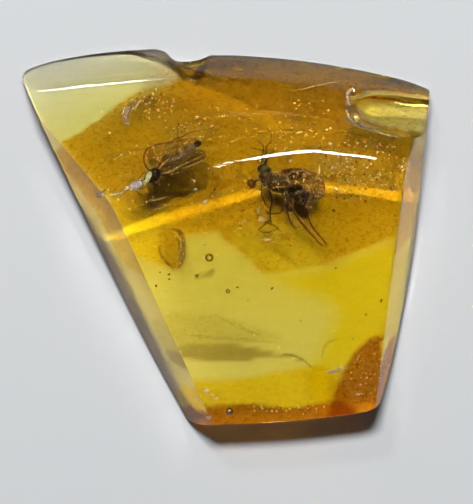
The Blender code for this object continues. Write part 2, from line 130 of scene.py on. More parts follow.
# Colour zones of the amber as seen from above: outline in mm, how soft its edge is in mm, the share of red,
# green and blue light that it leaves, and how grainy it is. Two of them are painted shade: the ridge zone and
# the one along the top edge.
ZONES = {
    "dark flow": (DARK_OUTLINE, 0.30, (0.93, 0.79, 0.22), 0.80),
    "lobe": (
        (
            (0.30, -0.62), (1.42, -0.90), (1.70, -1.67), (2.68, -2.02), (3.17, -2.79), (4.92, -2.54), (6.74, -2.12),
            (6.45, -0.27), (4.50, 0.99), (2.05, 0.99), (0.44, 0.29),
        ),
        0.40, (1.22, 1.36, 1.80), 0.40,
    ),
    "left lobe": (
        (
            (-8.80, 2.53), (-6.70, 2.18), (-5.30, 2.18), (-4.25, 1.69), (-3.34, 0.78), (-3.06, -0.27),
            (-3.20, -1.32), (-3.34, -2.23), (-4.25, -2.09), (-5.30, -1.81), (-6.00, -1.53), (-6.70, -0.62),
            (-7.75, 1.13),
        ),
        0.35, (1.0, 0.86, 0.12), 0.60,
    ),
    "right": (
        (
            (3.10, -2.86), (6.60, -2.16), (10.10, -0.83), (14.04, 0.01), (14.04, -4.47), (13.20, -11.47),
            (10.80, -13.52), (7.30, -13.82), (5.55, -10.07), (6.60, -7.97), (7.65, -5.17), (5.20, -3.91),
        ),
        1.60, (1.0, 0.92, 0.09), 0.15,
    ),
    "low": (
        ((-3.50, -10.07), (1.00, -9.93), (5.90, -9.09), (7.65, -9.72), (8.70, -13.97), (-3.50, -13.97)),
        0.55, (1.0, 0.84, 0.06), 0.35,
    ),
    "foot strip": (
        ((-3.50, -12.17), (1.00, -11.75), (4.50, -12.03), (8.35, -11.61), (8.70, -14.0), (-3.50, -14.0)),
        0.35, (0.43, 0.21, 0.10), 0.90,
    ),
    "crust": (
        (
            (10.10, -7.13), (11.15, -6.99), (12.92, -7.62), (12.64, -13.37), (7.30, -14.0), (7.44, -11.61),
            (8.35, -9.37), (9.05, -8.11),
        ),
        0.45, (0.60, 0.27, 0.25), 1.00,
    ),
    "olive": (
        (
            (-3.76, -5.31), (-0.05, -5.73), (2.54, -6.57), (3.94, -7.13), (2.54, -7.34), (-0.75, -7.48),
            (-4.55, -7.48), (-4.85, -6.22),
        ),
        0.30, (0.86, 0.86, 0.75), 0.40,
    ),
    "olive band": (
        (
            (-4.20, -7.69), (-1.80, -7.55), (-0.40, -7.48), (1.70, -7.76), (3.80, -8.25), (4.85, -8.39),
            (5.69, -8.88), (4.50, -8.53), (3.10, -8.43), (1.35, -8.74), (-0.40, -8.74), (-3.85, -8.46),
        ),
        0.16, (0.56, 0.49, 0.42), 0.15,
    ),
    # Painted shade: darkens the bright band of light that the ridge throws on the paper below it, on the left.
    "ridge": (
        (
            (-7.60, 1.40), (-6.60, 2.90), (-4.60, 3.40), (-2.00, 3.90), (0.60, 4.30), (2.60, 4.40),
            (2.40, 3.20), (0.40, 2.70), (-2.20, 1.90), (-4.60, 1.10), (-6.60, 0.50),
        ),
        1.10, (0.80, 0.78, 0.80), 0.80,
    ),
    "curl": (
        (
            (-4.30, 0.60), (-3.20, 0.40), (-2.75, -0.60), (-2.95, -1.70), (-3.50, -2.45), (-4.30, -2.00),
            (-4.75, -1.00), (-4.65, 0.10),
        ),
        0.45, (0.80, 0.68, 0.50), 0.90,
    ),
    "flake floor": (
        (
            (8.95, 9.87), (10.80, 10.30), (14.60, 9.90), (14.30, 6.90), (12.56, 6.73), (9.76, 7.57),
            (8.70, 8.48),
        ),
        0.60, (1.22, 1.26, 0.75), 0.30,
    ),
    "edge strip": (
        ((5.20, 11.20), (8.70, 10.60), (14.60, 10.10), (14.60, 11.60), (10.10, 12.30), (5.20, 13.00)),
        0.90, (1.15, 1.12, 0.40), 0.40,
    ),
    # Painted shade: a darker band along the top edge, where little light comes down through the amber to the paper.
    "painted shade along the top edge": (
        (
            (-3.48, 13.33), (1.70, 13.89), (15.30, 11.93), (14.95, 6.03), (11.50, 6.73), (9.40, 7.57),
            (5.20, 8.13), (1.00, 8.27), (-3.90, 8.83), (-6.00, 9.88),
        ),
        1.60, (0.86, 0.78, 0.90), 0.80,
    ),
}
UNDERSIDE_CELL = 0.25
BEVEL_TINTS = ((0.86, 0.80, 1.0), (0.62, 0.55, 0.80))
GROUND_FROM_TILT = 52.0
FAR = 20.0


def smooth_curve(points, steps):
    """Points along a Catmull-Rom curve through the given ones, from the first to the last."""
    knots = [Vector(p) for p in points]
    ends = [2 * knots[0] - knots[1]] + knots + [2 * knots[-1] - knots[-2]]
    curve = [knots[0]]
    for before, start, stop, after in zip(ends, ends[1:], ends[2:], ends[3:]):
        for step in range(1, steps + 1):
            t = step / steps
            bend = (2 * before - 5 * start + 4 * stop - after) * t * t
            twist = (3 * start - before - 3 * stop + after) * t * t * t
            curve.append(0.5 * (2 * start + (stop - before) * t + bend + twist))
    return curve


def outline():
    """The slip's outline in metres, anticlockwise, with its bounding box centred on the origin."""
    points = []
    for side in SIDES:
        for point in smooth_curve(side, STEPS_PER_SPAN):
            if not points or (point - points[-1]).length > LEAST_STEP:
                points.append(point)
    middle_x = (max(p.x for p in points) + min(p.x for p in points)) / 2
    middle_y = (max(p.y for p in points) + min(p.y for p in points)) / 2
    middle = Vector((middle_x, middle_y))
    return [(p - middle) * MM for p in reversed(points)]


def facing(heading, tilt):
    """The normal of a face that leans by tilt from level towards heading, both in degrees."""
    around, lean = math.radians(heading), math.radians(tilt)
    return Vector((math.sin(lean) * math.cos(around), math.sin(lean) * math.sin(around), math.cos(lean)))


def top_faces():
    """Every polished and ground face of the top, as a point on it and its normal."""
    faces = [(APEX, Vector((0.0, -LOWER_SLOPE, 1.0)).normalized())]
    dome = DOME_PER_MM / MM
    for number in range(DOME_FACETS):
        x = DOME_FROM_X + (DOME_TO_X - DOME_FROM_X) * number / (DOME_FACETS - 1)
        drop = dome * (x - APEX.x) ** 2
        normal = Vector((2 * dome * (x - APEX.x), UPPER_SLOPE, 1.0)).normalized()
        faces.append((Vector((x, APEX.y, APEX.z - drop)), normal))
    for point, heading, tilt in BEVELS.values():
        faces.append((Vector(point) * MM, facing(heading, tilt)))
    for place, heading in SHOULDER_PLACES:
        middle = Vector(place) - SHOULDER_RADIUS * facing(heading, SHOULDER_TILTS[-1])
        for tilt in SHOULDER_TILTS:
            normal = facing(heading, tilt)
            faces.append(((middle + SHOULDER_RADIUS * normal) * MM, normal))
    return faces


def rounding(one, other, radius):
    """The narrow faces that round the edge between two faces."""
    (point, normal), (point_2, normal_2) = one, other
    reach, reach_2, lean = normal.dot(point), normal_2.dot(point_2), normal.dot(normal_2)
    on_edge = ((reach - reach_2 * lean) * normal + (reach_2 - reach * lean) * normal_2) / (1 - lean * lean)
    centre = on_edge - radius * MM * (normal + normal_2) / (1 + lean)
    faces = []
    for step in range(1, ROUNDING_FACETS + 1):
        between = normal.slerp(normal_2, step / (ROUNDING_FACETS + 1))
        faces.append((centre + radius * MM * between, between))
    return faces


def rounding_faces():
    """The faces that round the ridge and the edge of the upper left rim."""
    faces = top_faces()
    lower, dome = faces[0], faces[1:1 + DOME_FACETS]
    rims = dict(zip(BEVELS, faces[1 + DOME_FACETS:]))
    narrow = rounding(dome[0], rims["top rim right"], RIM_RADIUS)
    for number, strip in enumerate(dome):
        narrow += rounding(lower, strip, RIDGE_RADIUS if number else RIDGE_RADIUS_LEFT)
    shoulders = faces[1 + DOME_FACETS + len(BEVELS):]
    for shoulder in shoulders[len(SHOULDER_TILTS)::len(SHOULDER_TILTS)]:
        narrow += rounding(lower, shoulder, RIDGE_RADIUS)
    return narrow


def top_height(x, y):
    """How high the unchipped top is above the underside at a place in plan, and the normal there."""
    heights = []
    for point, normal in top_faces():
        fall = (normal.x * (x - point.x) + normal.y * (y - point.y)) / normal.z
        heights.append((point.z - fall, normal))
    return min(heights, key=lambda pair: pair[0])


def grind(shape, point, normal):
    """Cuts away what lies beyond a plane and closes the cut with one flat face."""
    everything = shape.verts[:] + shape.edges[:] + shape.faces[:]
    cut = bmesh.ops.bisect_plane(
        shape, geom=everything, dist=1e-7, plane_co=point, plane_no=normal, clear_outer=True
    )
    rim = [item for item in cut["geom_cut"] if isinstance(item, bmesh.types.BMEdge)]
    if rim:
        bmesh.ops.edgeloop_fill(shape, edges=rim)


def prism(points, floor, top):
    """An upright block on an outline in metres, between two levels."""
    shape = bmesh.new()
    base = shape.faces.new([shape.verts.new((p.x, p.y, floor)) for p in points])
    walls = bmesh.ops.extrude_face_region(shape, geom=[base])
    raised = [item for item in walls["geom"] if isinstance(item, bmesh.types.BMVert)]
    bmesh.ops.translate(shape, verts=raised, vec=(0.0, 0.0, top - floor))
    bmesh.ops.recalc_face_normals(shape, faces=shape.faces)
    return shape


def grind_top(shape, gap):
    """Grinds a block down to the top faces, moved down by a gap."""
    for point, normal in top_faces() + rounding_faces():
        grind(shape, point - normal * gap, normal)
    bmesh.ops.recalc_face_normals(shape, faces=shape.faces)


def seen_shift(x, y, level):
    """How far sideways a thing at a level in mm lies from where it seems to lie, seen from above."""
    height, normal = top_height(x * MM, y * MM)
    squeeze = 1 / AMBER_IOR
    bend = squeeze * normal.z - math.sqrt(1 - squeeze * squeeze * (1 - normal.z * normal.z))
    ray = normal * bend - UP * squeeze
    return ray.xy * (height / MM - level) / -ray.z


def beneath(x, y, level):
    """The place in metres at a level in mm that is seen from above at this place in mm."""
    shift = seen_shift(x, y, level)
    return Vector((x + shift.x, y + shift.y, level)) * MM


def add_mesh_object(name, shape):
    """Turns a bmesh into an object of the scene."""
    mesh = bpy.data.meshes.new(name)
    shape.to_mesh(mesh)
    shape.free()
    piece = bpy.data.objects.new(name, mesh)
    bpy.context.scene.collection.objects.link(piece)
    return piece


def chip_cutter(name, place, widths, depth, turn, lean_to, blow, ripple_gap):
    """The cutter for one chip: its lower side is a shell-like hollow with faint ripples round the blow."""
    x, y = place[0] * MM, place[1] * MM
    height, normal = top_height(x, y)
    if lean_to:
        normal = facing(*lean_to)
    shape = bmesh.new()
    lean = UP.rotation_difference(normal).to_matrix().to_4x4()
    to_place = Matrix.Translation((x, y, height)) @ lean @ Matrix.Rotation(math.radians(turn), 4, "Z")
    blow_local = (to_place.inverted() @ Vector((blow[0] * MM, blow[1] * MM, height))) / MM
    rings = []
    for ring in range(CHIP_RINGS + 1):
        share = 1.35 * ring / CHIP_RINGS
        verts = []
        for spoke in range(CHIP_SPOKES):
            angle = 2 * math.pi * spoke / CHIP_SPOKES
            wobble = 1 + 0.035 * math.sin(3 * angle + 1.0) + 0.02 * math.sin(7 * angle)
            px, py = (widths[k] * share * wobble * (math.cos(angle), math.sin(angle))[k] for k in (0, 1))
            away = math.hypot(px - blow_local.x, py - blow_local.y)
            ripple = RIPPLE_HEIGHT * math.sin(2 * math.pi * away / ripple_gap) * min(1.0, depth)
            pz = depth * (share ** CHIP_FLATNESS - 1) + ripple
            verts.append(shape.verts.new((px * MM, py * MM, pz * MM)))
        rings.append(verts)
    lid = [shape.verts.new(v.co + Vector((0.0, 0.0, 1.5 * MM))) for v in rings[-1]]
    rings.append(lid)
    for inner, outer in zip(rings[1:], rings[2:]):
        for spoke in range(CHIP_SPOKES):
            after = (spoke + 1) % CHIP_SPOKES
            shape.faces.new((inner[spoke], inner[after], outer[after], outer[spoke]))
    shape.faces.new(rings[1])
    shape.faces.new(lid)
    bmesh.ops.delete(shape, geom=rings[0], context="VERTS")
    bmesh.ops.recalc_face_normals(shape, faces=shape.faces)
    shape.transform(to_place)
    return add_mesh_object(name, shape)


def settle(piece):
    """Applies a piece's modifiers for good."""
    seen = piece.evaluated_get(bpy.context.evaluated_depsgraph_get())
    mesh = bpy.data.meshes.new_from_object(seen)
    piece.modifiers.clear()
    old, piece.data = piece.data, mesh
    bpy.data.meshes.remove(old)


def cut_by(piece, cutters, operation="DIFFERENCE"):
    """Cuts the piece by the cutters for good, and removes them."""
    for cutter in cutters:
        step = piece.modifiers.new(cutter.name, "BOOLEAN")
        step.operation = operation
        step.solver = "EXACT"
        step.object = cutter
    settle(piece)
    for cutter in cutters:
        bpy.data.objects.remove(cutter)


def smooth_shading(piece, sharp_degrees):
    """Shades a piece smoothly, its large faces staying flat and its edges above an angle sharp."""
    piece.data.shade_smooth()
    piece.data.set_sharp_from_angle(angle=math.radians(sharp_degrees))
    weighting = piece.modifiers.new("large faces stay flat", "WEIGHTED_NORMAL")
    weighting.weight = 100
    weighting.keep_sharp = True
    settle(piece)


def inset(points, distance):
    """An anticlockwise outline moved inwards by a distance."""
    moved = []
    for before, here, after in zip(points[-1:] + points[:-1], points, points[1:] + points[:1]):
        along = (after - before).normalized()
        moved.append(here + Vector((-along.y, along.x)) * distance)
    return moved


def dark_layer():
    """The darker flow along the bottom of the slip, within its own outline."""
    inner = inset(outline(), FLOW_INSET * MM)
    piece = add_mesh_object("dark_flow", prism(inner, DARK_FLOOR * MM, BLANK_HEIGHT))
    edge = smooth_curve(DARK_OUTLINE + DARK_OUTLINE[:1], 4)[:-1]
    shifts = [seen_shift(0.0, side * FLOW_SHIFT_FROM_Y, DARK_TOP / 2) for side in (-1, 1)]
    corners = [(p + shifts[p.y * MM > APEX.y]) * MM for p in edge]
    cut_by(piece, [add_mesh_object("footprint", prism(corners, -MM, 2 * BLANK_HEIGHT))], "INTERSECT")
    shape = bmesh.new()
    shape.from_mesh(piece.data)
    grind_top(shape, FLOW_INSET * MM)
    grind(shape, Vector((0.0, 0.0, DARK_TOP * MM)), Vector((0.0, -DARK_TOP_RISE, 1.0)).normalized())
    bmesh.ops.recalc_face_normals(shape, faces=shape.faces)
    shape.to_mesh(piece.data)
    shape.free()
    deeper = []
    for name, (place, widths, depth, turn, lean_to, blow, gap) in CHIPS.items():
        wide = tuple(width * 1.03 for width in widths)
        deeper.append(chip_cutter(name, place, wide, depth + 0.07, turn, lean_to, blow, gap))
    cut_by(piece, deeper)
    return piece


def share_inside(places, points, softness):
    """How far each place lies inside a smooth outline, from 0 outside to 1 inside, over a soft edge."""
    corners = np.array([tuple(p) for p in smooth_curve(points + points[:1], 4)[:-1]])
    ends = np.roll(corners, -1, axis=0)
    along = ends - corners
    offset = places[:, None, :] - corners[None, :, :]
    share = np.clip((offset * along).sum(2) / (along * along).sum(1), 0.0, 1.0)
    distance = np.linalg.norm(offset - share[:, :, None] * along, axis=2).min(axis=1)
    crosses = (corners[:, 1] > places[:, 1, None]) != (ends[:, 1] > places[:, 1, None])
    rise = np.where(along[:, 1] == 0.0, 1.0, along[:, 1])
    left_of = places[:, 0, None] < corners[:, 0] + along[:, 0] * (places[:, 1, None] - corners[:, 1]) / rise
    inside = (crosses & left_of).sum(axis=1) % 2 == 1
    t = np.clip(np.where(inside, distance, -distance) / softness + 0.5, 0.0, 1.0)
    return t * t * (3 - 2 * t)


def score_underside(shape):
    """Divides the flat underside into small cells, to carry the colour zones."""
    low = [face for face in shape.faces if face.normal.z < -0.9 and face.calc_center_median().z < 0.01 * MM]
    parts = set(low)
    for face in low:
        parts.update(face.edges)
        parts.update(face.verts)
    parts = list(parts)
    for axis in (0, 1):
        normal = Vector((1.0 - axis, float(axis), 0.0))
        count = int(2 * FAR / UNDERSIDE_CELL)
        for number in range(count):
            place = normal * (number * UNDERSIDE_CELL - FAR) * MM
            cut = bmesh.ops.bisect_plane(shape, geom=parts, dist=1e-8, plane_co=place, plane_no=normal)
            parts = cut["geom"]


def paint_zones(piece):
    """Writes each colour zone on the underside, and how ground each other face is."""
    mesh = piece.data
    count = len(mesh.vertices)
    tint = np.ones((count, 4))
    tint[:, 3] = 0.0
    ground = np.zeros(count)
    for face in mesh.polygons:
        if face.normal.z > -0.9 and face.normal.z < math.cos(math.radians(GROUND_FROM_TILT)):
            for index in face.vertices:
                ground[index] = 1.0
                tint[index, :3] = BEVEL_TINTS[face.normal.x < 0.0]
    low = [v.index for v in mesh.vertices if v.co.z < 0.001 * MM]
    places = np.array([tuple(mesh.vertices[index].co.xy / MM) for index in low])
    shifts = np.array([tuple(seen_shift(x, y, 0.0)) for x, y in places])
    seen = places - shifts
    tint[low, :3] = 1.0
    ground[low] = 0.0
    for points, softness, colour, grain in ZONES.values():
        share = share_inside(seen, points, softness)
        tint[low, :3] *= 1 + share[:, None] * (np.array(colour) - 1)
        tint[low, 3] = np.maximum(tint[low, 3], share * grain)
    mesh.attributes.new("tint", "FLOAT_COLOR", "POINT").data.foreach_set("color", tint.ravel())
    mesh.attributes.new("ground", "FLOAT", "POINT").data.foreach_set("value", ground)


# Bubbles: the place where each is seen from above, its level and its radius, in mm.
BUBBLES = (
    (-1.13, -1.50, 3.20, 0.30),
    (0.27, -12.20, 2.60, 0.27),
    (2.43, 5.08, 3.75, 0.25),
    (0.16, -3.84, 2.2, 0.16),
    (-2.00, -2.79, 2.2, 0.13),
    (-0.78, 3.25, 3.4, 0.10),
)


def add_cavities(shape):
    """Adds each bubble as a hollow inside the amber."""
    for x, y, level, radius in BUBBLES:
        made = bmesh.ops.create_uvsphere(shape, u_segments=24, v_segments=16, radius=radius * MM)
        bmesh.ops.translate(shape, verts=made["verts"], vec=beneath(x, y, level))
        walls = list({face for vert in made["verts"] for face in vert.link_faces})
        bmesh.ops.reverse_faces(shape, faces=walls)


def amber_piece():
    """The slip of amber in one piece, with softened arrises and fresh chips."""
    shape = prism(outline(), 0.0, BLANK_HEIGHT)
    grind_top(shape, 0.0)
    arrises = [e for e in shape.edges if e.is_manifold and e.calc_face_angle() > ARRIS_FROM_ANGLE]
    bmesh.ops.bevel(
        shape, geom=arrises, offset=ARRIS, segments=ARRIS_SEGMENTS, profile=0.5, affect="EDGES", clamp_overlap=True
    )
    piece = add_mesh_object("amber", shape)
    cut_by(piece, [chip_cutter(name, *chip) for name, chip in CHIPS.items()])
    shape = bmesh.new()
    shape.from_mesh(piece.data)
    score_underside(shape)
    add_cavities(shape)
    shape.to_mesh(piece.data)
    shape.free()
    smooth_shading(piece, 24.0)
    paint_zones(piece)
    return piece


def glass_material(name, colour, ior, roughness, absorbed, density):
    """A see-through material: a colour, an index of refraction and the light it absorbs by depth."""
    material = bpy.data.materials.new(name)
    material.use_nodes = True
    tree = material.node_tree
    surface = tree.nodes["Principled BSDF"]
    surface.inputs["Base Color"].default_value = (*colour, 1.0)
    surface.inputs["Roughness"].default_value = roughness
    surface.inputs["IOR"].default_value = ior
    surface.inputs["Transmission Weight"].default_value = 1.0
    volume = tree.nodes.new("ShaderNodeVolumeAbsorption")
    volume.inputs["Color"].default_value = (*absorbed, 1.0)
    volume.inputs["Density"].default_value = density
    tree.links.new(volume.outputs["Volume"], tree.nodes["Material Output"].inputs["Volume"])
    return material


# The insects, in mm: places as seen from above with heights from the level of each, and radii.
BLACK = (0.020, 0.014, 0.012)
DARK_BROWN = (0.075, 0.034, 0.018)
RED_BROWN = (0.26, 0.095, 0.030)
PURPLE_BROWN = (0.115, 0.055, 0.060)
GREY_BROWN = (0.34, 0.27, 0.23)
GOLD_BROWN = (0.80, 0.52, 0.26)
OLIVE_GREY = (0.20, 0.20, 0.15)
BEIGE = (0.78, 0.74, 0.66)

# Body parts: a path of places with radii, how flat it is, the rings that part it, and its colours.
GNAT_PARTS = {
    "head": (((-6.30, 3.38, 0.0, 0.10), (-6.12, 3.50, 0.0, 0.30), (-5.86, 3.66, 0.02, 0.33), (-5.66, 3.78, 0.03, 0.14)),
             0.9, 0, DARK_BROWN, BLACK),
    "thorax": (
        (
            (-5.62, 3.82, 0.03, 0.16), (-5.36, 4.00, 0.06, 0.40), (-5.00, 4.26, 0.10, 0.50),
            (-4.72, 4.42, 0.06, 0.42), (-4.52, 4.52, 0.02, 0.16),
        ), 0.92, 0, BLACK, DARK_BROWN,
    ),
    "abdomen": (
        (
            (-4.56, 4.50, 0.02, 0.14), (-4.20, 4.78, 0.02, 0.24), (-3.70, 5.20, 0.03, 0.31),
            (-3.10, 5.68, 0.05, 0.34), (-2.50, 6.08, 0.07, 0.32), (-2.05, 6.38, 0.07, 0.24), (-1.78, 6.60, 0.06, 0.09),
        ), 0.85, 7, GREY_BROWN, PURPLE_BROWN,
    ),
    "tail": (((-2.30, 6.20, 0.10, 0.10), (-2.05, 6.40, 0.14, 0.24), (-1.84, 6.56, 0.12, 0.20), (-1.74, 6.66, 0.10, 0.06)),
             0.8, 2, BLACK, DARK_BROWN),
}
GNAT_LIMBS = {
    "upright leg": (
        ((-4.85, 4.45, 0.02), (-4.55, 5.05, 0.14), (-4.05, 5.50, 0.24), (-3.50, 5.72, 0.26), (-3.42, 6.30, 0.20),
         (-3.40, 6.95, 0.12), (-3.36, 7.55, 0.04), (-3.30, 8.00, 0.0)), 0.070, RED_BROWN,
    ),
    "upright leg cross": (((-3.72, 6.82, 0.10), (-3.40, 6.92, 0.14), (-3.00, 6.98, 0.12)), 0.035, RED_BROWN),
    "arch leg": (
        ((-5.05, 4.40, 0.10), (-5.55, 4.90, 0.20), (-5.72, 5.55, 0.24), (-5.50, 6.12, 0.25), (-4.90, 6.46, 0.22),
         (-4.00, 6.62, 0.18), (-3.10, 6.98, 0.12), (-2.30, 7.34, 0.06), (-1.30, 7.50, 0.0), (-0.50, 7.50, 0.0)),
        0.060, RED_BROWN,
    ),
    "middle leg": (
        ((-4.90, 4.30, 0.0), (-4.50, 5.15, -0.10), (-4.05, 5.75, -0.16), (-3.60, 6.15, -0.20), (-2.90, 6.30, -0.20)),
        0.060, DARK_BROWN,
    ),
    "crossing leg": (((-4.66, 4.50, 0.20), (-4.30, 4.95, 0.34), (-3.70, 5.25, 0.36), (-3.05, 5.30, 0.30)),
                     0.055, RED_BROWN),
    "hind leg": (
        ((-4.62, 4.28, -0.05), (-4.20, 4.22, -0.08), (-3.70, 4.34, -0.10), (-3.10, 4.52, -0.12), (-2.45, 4.72, -0.12),
         (-1.90, 5.02, -0.10)), 0.085, PURPLE_BROWN,
    ),
    "gold leg": (
        ((-3.95, 4.36, 0.22), (-3.78, 4.48, 0.26), (-3.30, 4.82, 0.28), (-2.85, 5.02, 0.26), (-2.10, 5.36, 0.24),
         (-1.42, 5.70, 0.20)), 0.080, GOLD_BROWN,
    ),
    "gold leg low": (((-2.60, 4.78, 0.12), (-2.20, 4.95, 0.16), (-1.80, 5.14, 0.16), (-1.55, 5.30, 0.12)),
                     0.060, GOLD_BROWN),
    "grey leg": (((-4.30, 4.56, 0.20), (-3.60, 4.98, 0.28), (-2.90, 5.40, 0.30), (-2.20, 5.72, 0.24), (-1.50, 6.02, 0.16)),
                 0.050, GREY_BROWN),
    "fore leg": (((-5.20, 3.95, -0.05), (-4.95, 3.60, -0.16), (-4.70, 3.62, -0.20), (-4.42, 3.86, -0.22)),
                 0.055, DARK_BROWN),
    "feeler": (((-6.20, 3.60, 0.12), (-6.02, 4.02, 0.22), (-5.80, 4.30, 0.24), (-5.50, 4.44, 0.22)), 0.035, RED_BROWN),
    "feeler low": (((-6.30, 3.40, 0.02), (-6.62, 3.20, 0.05), (-7.05, 3.12, 0.02)), 0.030, DARK_BROWN),
    "palp": (((-6.20, 3.36, -0.05), (-6.10, 3.08, -0.12), (-5.80, 2.98, -0.16)), 0.035, BLACK),
}
GNAT_WINGS = {
    "upper wing": (
        ((-4.90, 4.42), (-5.35, 5.10), (-5.55, 5.75), (-5.10, 6.28), (-4.35, 6.56), (-3.40, 6.80), (-2.40, 6.92),
         (-1.90, 6.70), (-2.40, 5.90), (-3.40, 5.10)), -0.02, (GOLD_BROWN, RED_BROWN),
    ),
    "lower wing": (
        ((-4.80, 4.25), (-3.76, 4.46), (-2.64, 4.72), (-1.62, 5.10), (-1.30, 5.62), (-1.90, 6.00), (-3.20, 5.50),
         (-4.18, 4.90)), -0.20, (GOLD_BROWN, RED_BROWN),
    ),
}
FLY_PARTS = {
    "head": (((2.30, 4.46, 0.0, 0.10), (2.42, 4.52, 0.02, 0.36), (2.72, 4.52, 0.04, 0.42), (3.02, 4.42, 0.02, 0.30),
              (3.16, 4.34, 0.0, 0.10)), 0.8, 0, OLIVE_GREY, BLACK),
    "mouth": (((1.62, 3.92, 0.0, 0.10), (1.72, 3.76, 0.02, 0.26), (1.84, 3.56, 0.02, 0.28), (1.90, 3.30, 0.0, 0.12)),
              0.85, 0, RED_BROWN, DARK_BROWN),
    "thorax": (
        (
            (2.34, 4.22, 0.0, 0.14), (2.62, 4.08, 0.06, 0.42), (3.10, 3.86, 0.14, 0.60), (3.62, 3.66, 0.16, 0.66),
            (4.10, 3.46, 0.10, 0.56), (4.40, 3.32, 0.04, 0.26),
        ), 0.86, 0, BLACK, DARK_BROWN,
    ),
    "abdomen": (
        (
            (4.32, 3.38, 0.02, 0.24), (4.62, 3.22, 0.04, 0.50), (5.02, 3.00, 0.05, 0.60), (5.36, 2.72, 0.03, 0.54),
            (5.58, 2.44, 0.0, 0.36), (5.70, 2.22, -0.03, 0.12),
        ), 0.85, 6, PURPLE_BROWN, BLACK,
    ),
    "knot": (((4.16, 2.36, 0.0, 0.06), (4.28, 2.22, 0.05, 0.20), (4.42, 1.94, 0.06, 0.24), (4.56, 1.70, 0.02, 0.08)),
             0.9, 0, RED_BROWN, DARK_BROWN),
}
FLY_LIMBS = {
    "hind leg left": (
        ((5.30, 2.70, 0.0), (5.48, 2.32, 0.06), (5.70, 1.62, 0.10), (5.94, 0.78, 0.10), (6.42, 0.12, 0.06),
         (6.82, -0.32, 0.02), (6.96, -0.60, 0.0)), 0.080, RED_BROWN,
    ),
    "hind leg right": (
        ((4.72, 2.90, -0.10), (4.62, 2.30, -0.06), (4.78, 1.66, -0.04), (5.52, 0.60, -0.02), (6.06, 0.04, -0.02),
         (6.46, -0.44, -0.04), (6.78, -0.72, -0.06)), 0.085, RED_BROWN,
    ),
    "hind leg edge": (
        ((4.92, 1.52, 0.04), (5.58, 0.74, 0.06), (6.14, 0.16, 0.06), (6.46, -0.18, 0.04)), 0.045, GOLD_BROWN,
    ),
    "middle leg left": (
        ((4.20, 3.10, -0.10), (4.18, 2.36, -0.02), (4.30, 1.62, 0.0), (4.56, 0.86, 0.02), (4.92, 0.46, 0.02)),
        0.075, RED_BROWN,
    ),
    "middle leg pale": (((4.40, 1.60, 0.08), (4.66, 0.96, 0.10), (4.98, 0.62, 0.10)), 0.045, GOLD_BROWN),
    "middle leg right": (
        ((3.86, 3.20, -0.15), (4.06, 2.60, -0.16), (4.08, 2.04, -0.16), (3.76, 1.60, -0.14), (3.10, 1.56, -0.10),
         (2.80, 1.72, -0.06)), 0.075, RED_BROWN,
    ),
    "fore leg left": (
        ((3.00, 3.50, -0.15), (3.10, 3.00, -0.14), (3.22, 2.44, -0.10), (3.08, 1.70, -0.06), (3.16, 0.90, -0.05)),
        0.070, DARK_BROWN,
    ),
    "fore leg right": (((2.62, 3.80, -0.10), (2.48, 3.10, -0.12), (2.66, 2.44, -0.06), (3.02, 1.92, -0.04)),
                       0.065, RED_BROWN),
    "raised leg": (((2.90, 3.86, 0.10), (2.36, 3.92, 0.18), (1.92, 3.66, 0.16), (1.66, 3.20, 0.08)), 0.075, DARK_BROWN),
    "tangle": (((3.12, 1.16, -0.05), (2.70, 0.76, -0.04), (2.30, 0.40, -0.02), (2.86, 0.22, 0.0), (3.70, 0.50, 0.0)),
               0.040, RED_BROWN),
    "tangle low": (((2.36, 1.30, -0.10), (2.86, 0.92, -0.08), (3.40, 0.70, -0.06), (3.84, 0.26, -0.04)),
                   0.035, DARK_BROWN),
    "feeler left": (((2.62, 4.90, 0.14), (2.66, 5.50, 0.22), (2.66, 6.06, 0.20), (2.30, 6.34, 0.14), (2.12, 6.54, 0.10)),
                    0.050, DARK_BROWN),
    "feeler right": (((2.78, 4.90, 0.14), (2.84, 5.44, 0.20), (2.90, 5.96, 0.18), (3.18, 6.30, 0.14), (3.22, 6.86, 0.08)),
                     0.050, DARK_BROWN),
    "palp": (((2.60, 4.84, 0.10), (2.90, 5.50, 0.10), (2.40, 5.72, 0.10), (1.78, 5.86, 0.06)), 0.045, BLACK),
    "palp right": (((2.70, 4.90, 0.10), (3.02, 5.30, 0.12), (3.40, 5.60, 0.10)), 0.045, BLACK),
}
FLY_WINGS = {
    "right wing": (
        ((3.90, 3.90), (4.60, 4.40), (5.50, 4.50), (6.35, 4.25), (6.86, 3.55), (6.76, 2.80), (6.20, 2.36),
         (5.40, 2.40), (4.50, 3.05)), 0.30, (RED_BROWN, DARK_BROWN),
    ),
    "left wing": (
        ((3.60, 4.00), (3.75, 4.46), (4.55, 4.72), (5.55, 4.62), (5.70, 4.10), (4.60, 3.72)), 0.12,
        (RED_BROWN, DARK_BROWN),
    ),
}
LIMB_SIDES = 8
LIMB_STEPS = 6
BODY_SIDES = 28
BODY_STEPS = 9
BRISTLE_STOUTNESS = 0.11
WING_RINGS = 8
WING_STEPS = 8
WING_THICKNESS = 0.022
VEINS = 7


def paint(shape, verts, colour, other, seed):
    """Stores a colour on these vertices that wanders between two, in patches."""
    layer = shape.verts.layers.float_color["shade"]
    for vert in verts:
        share = 0.5 + 0.9 * noise.noise(vert.co * (3.2 / MM) + Vector((seed, 0.0, 0.0)))
        share = min(1.0, max(0.0, share))
        vert[layer] = tuple(a + (b - a) * share for a, b in zip(colour, other)) + (1.0,)


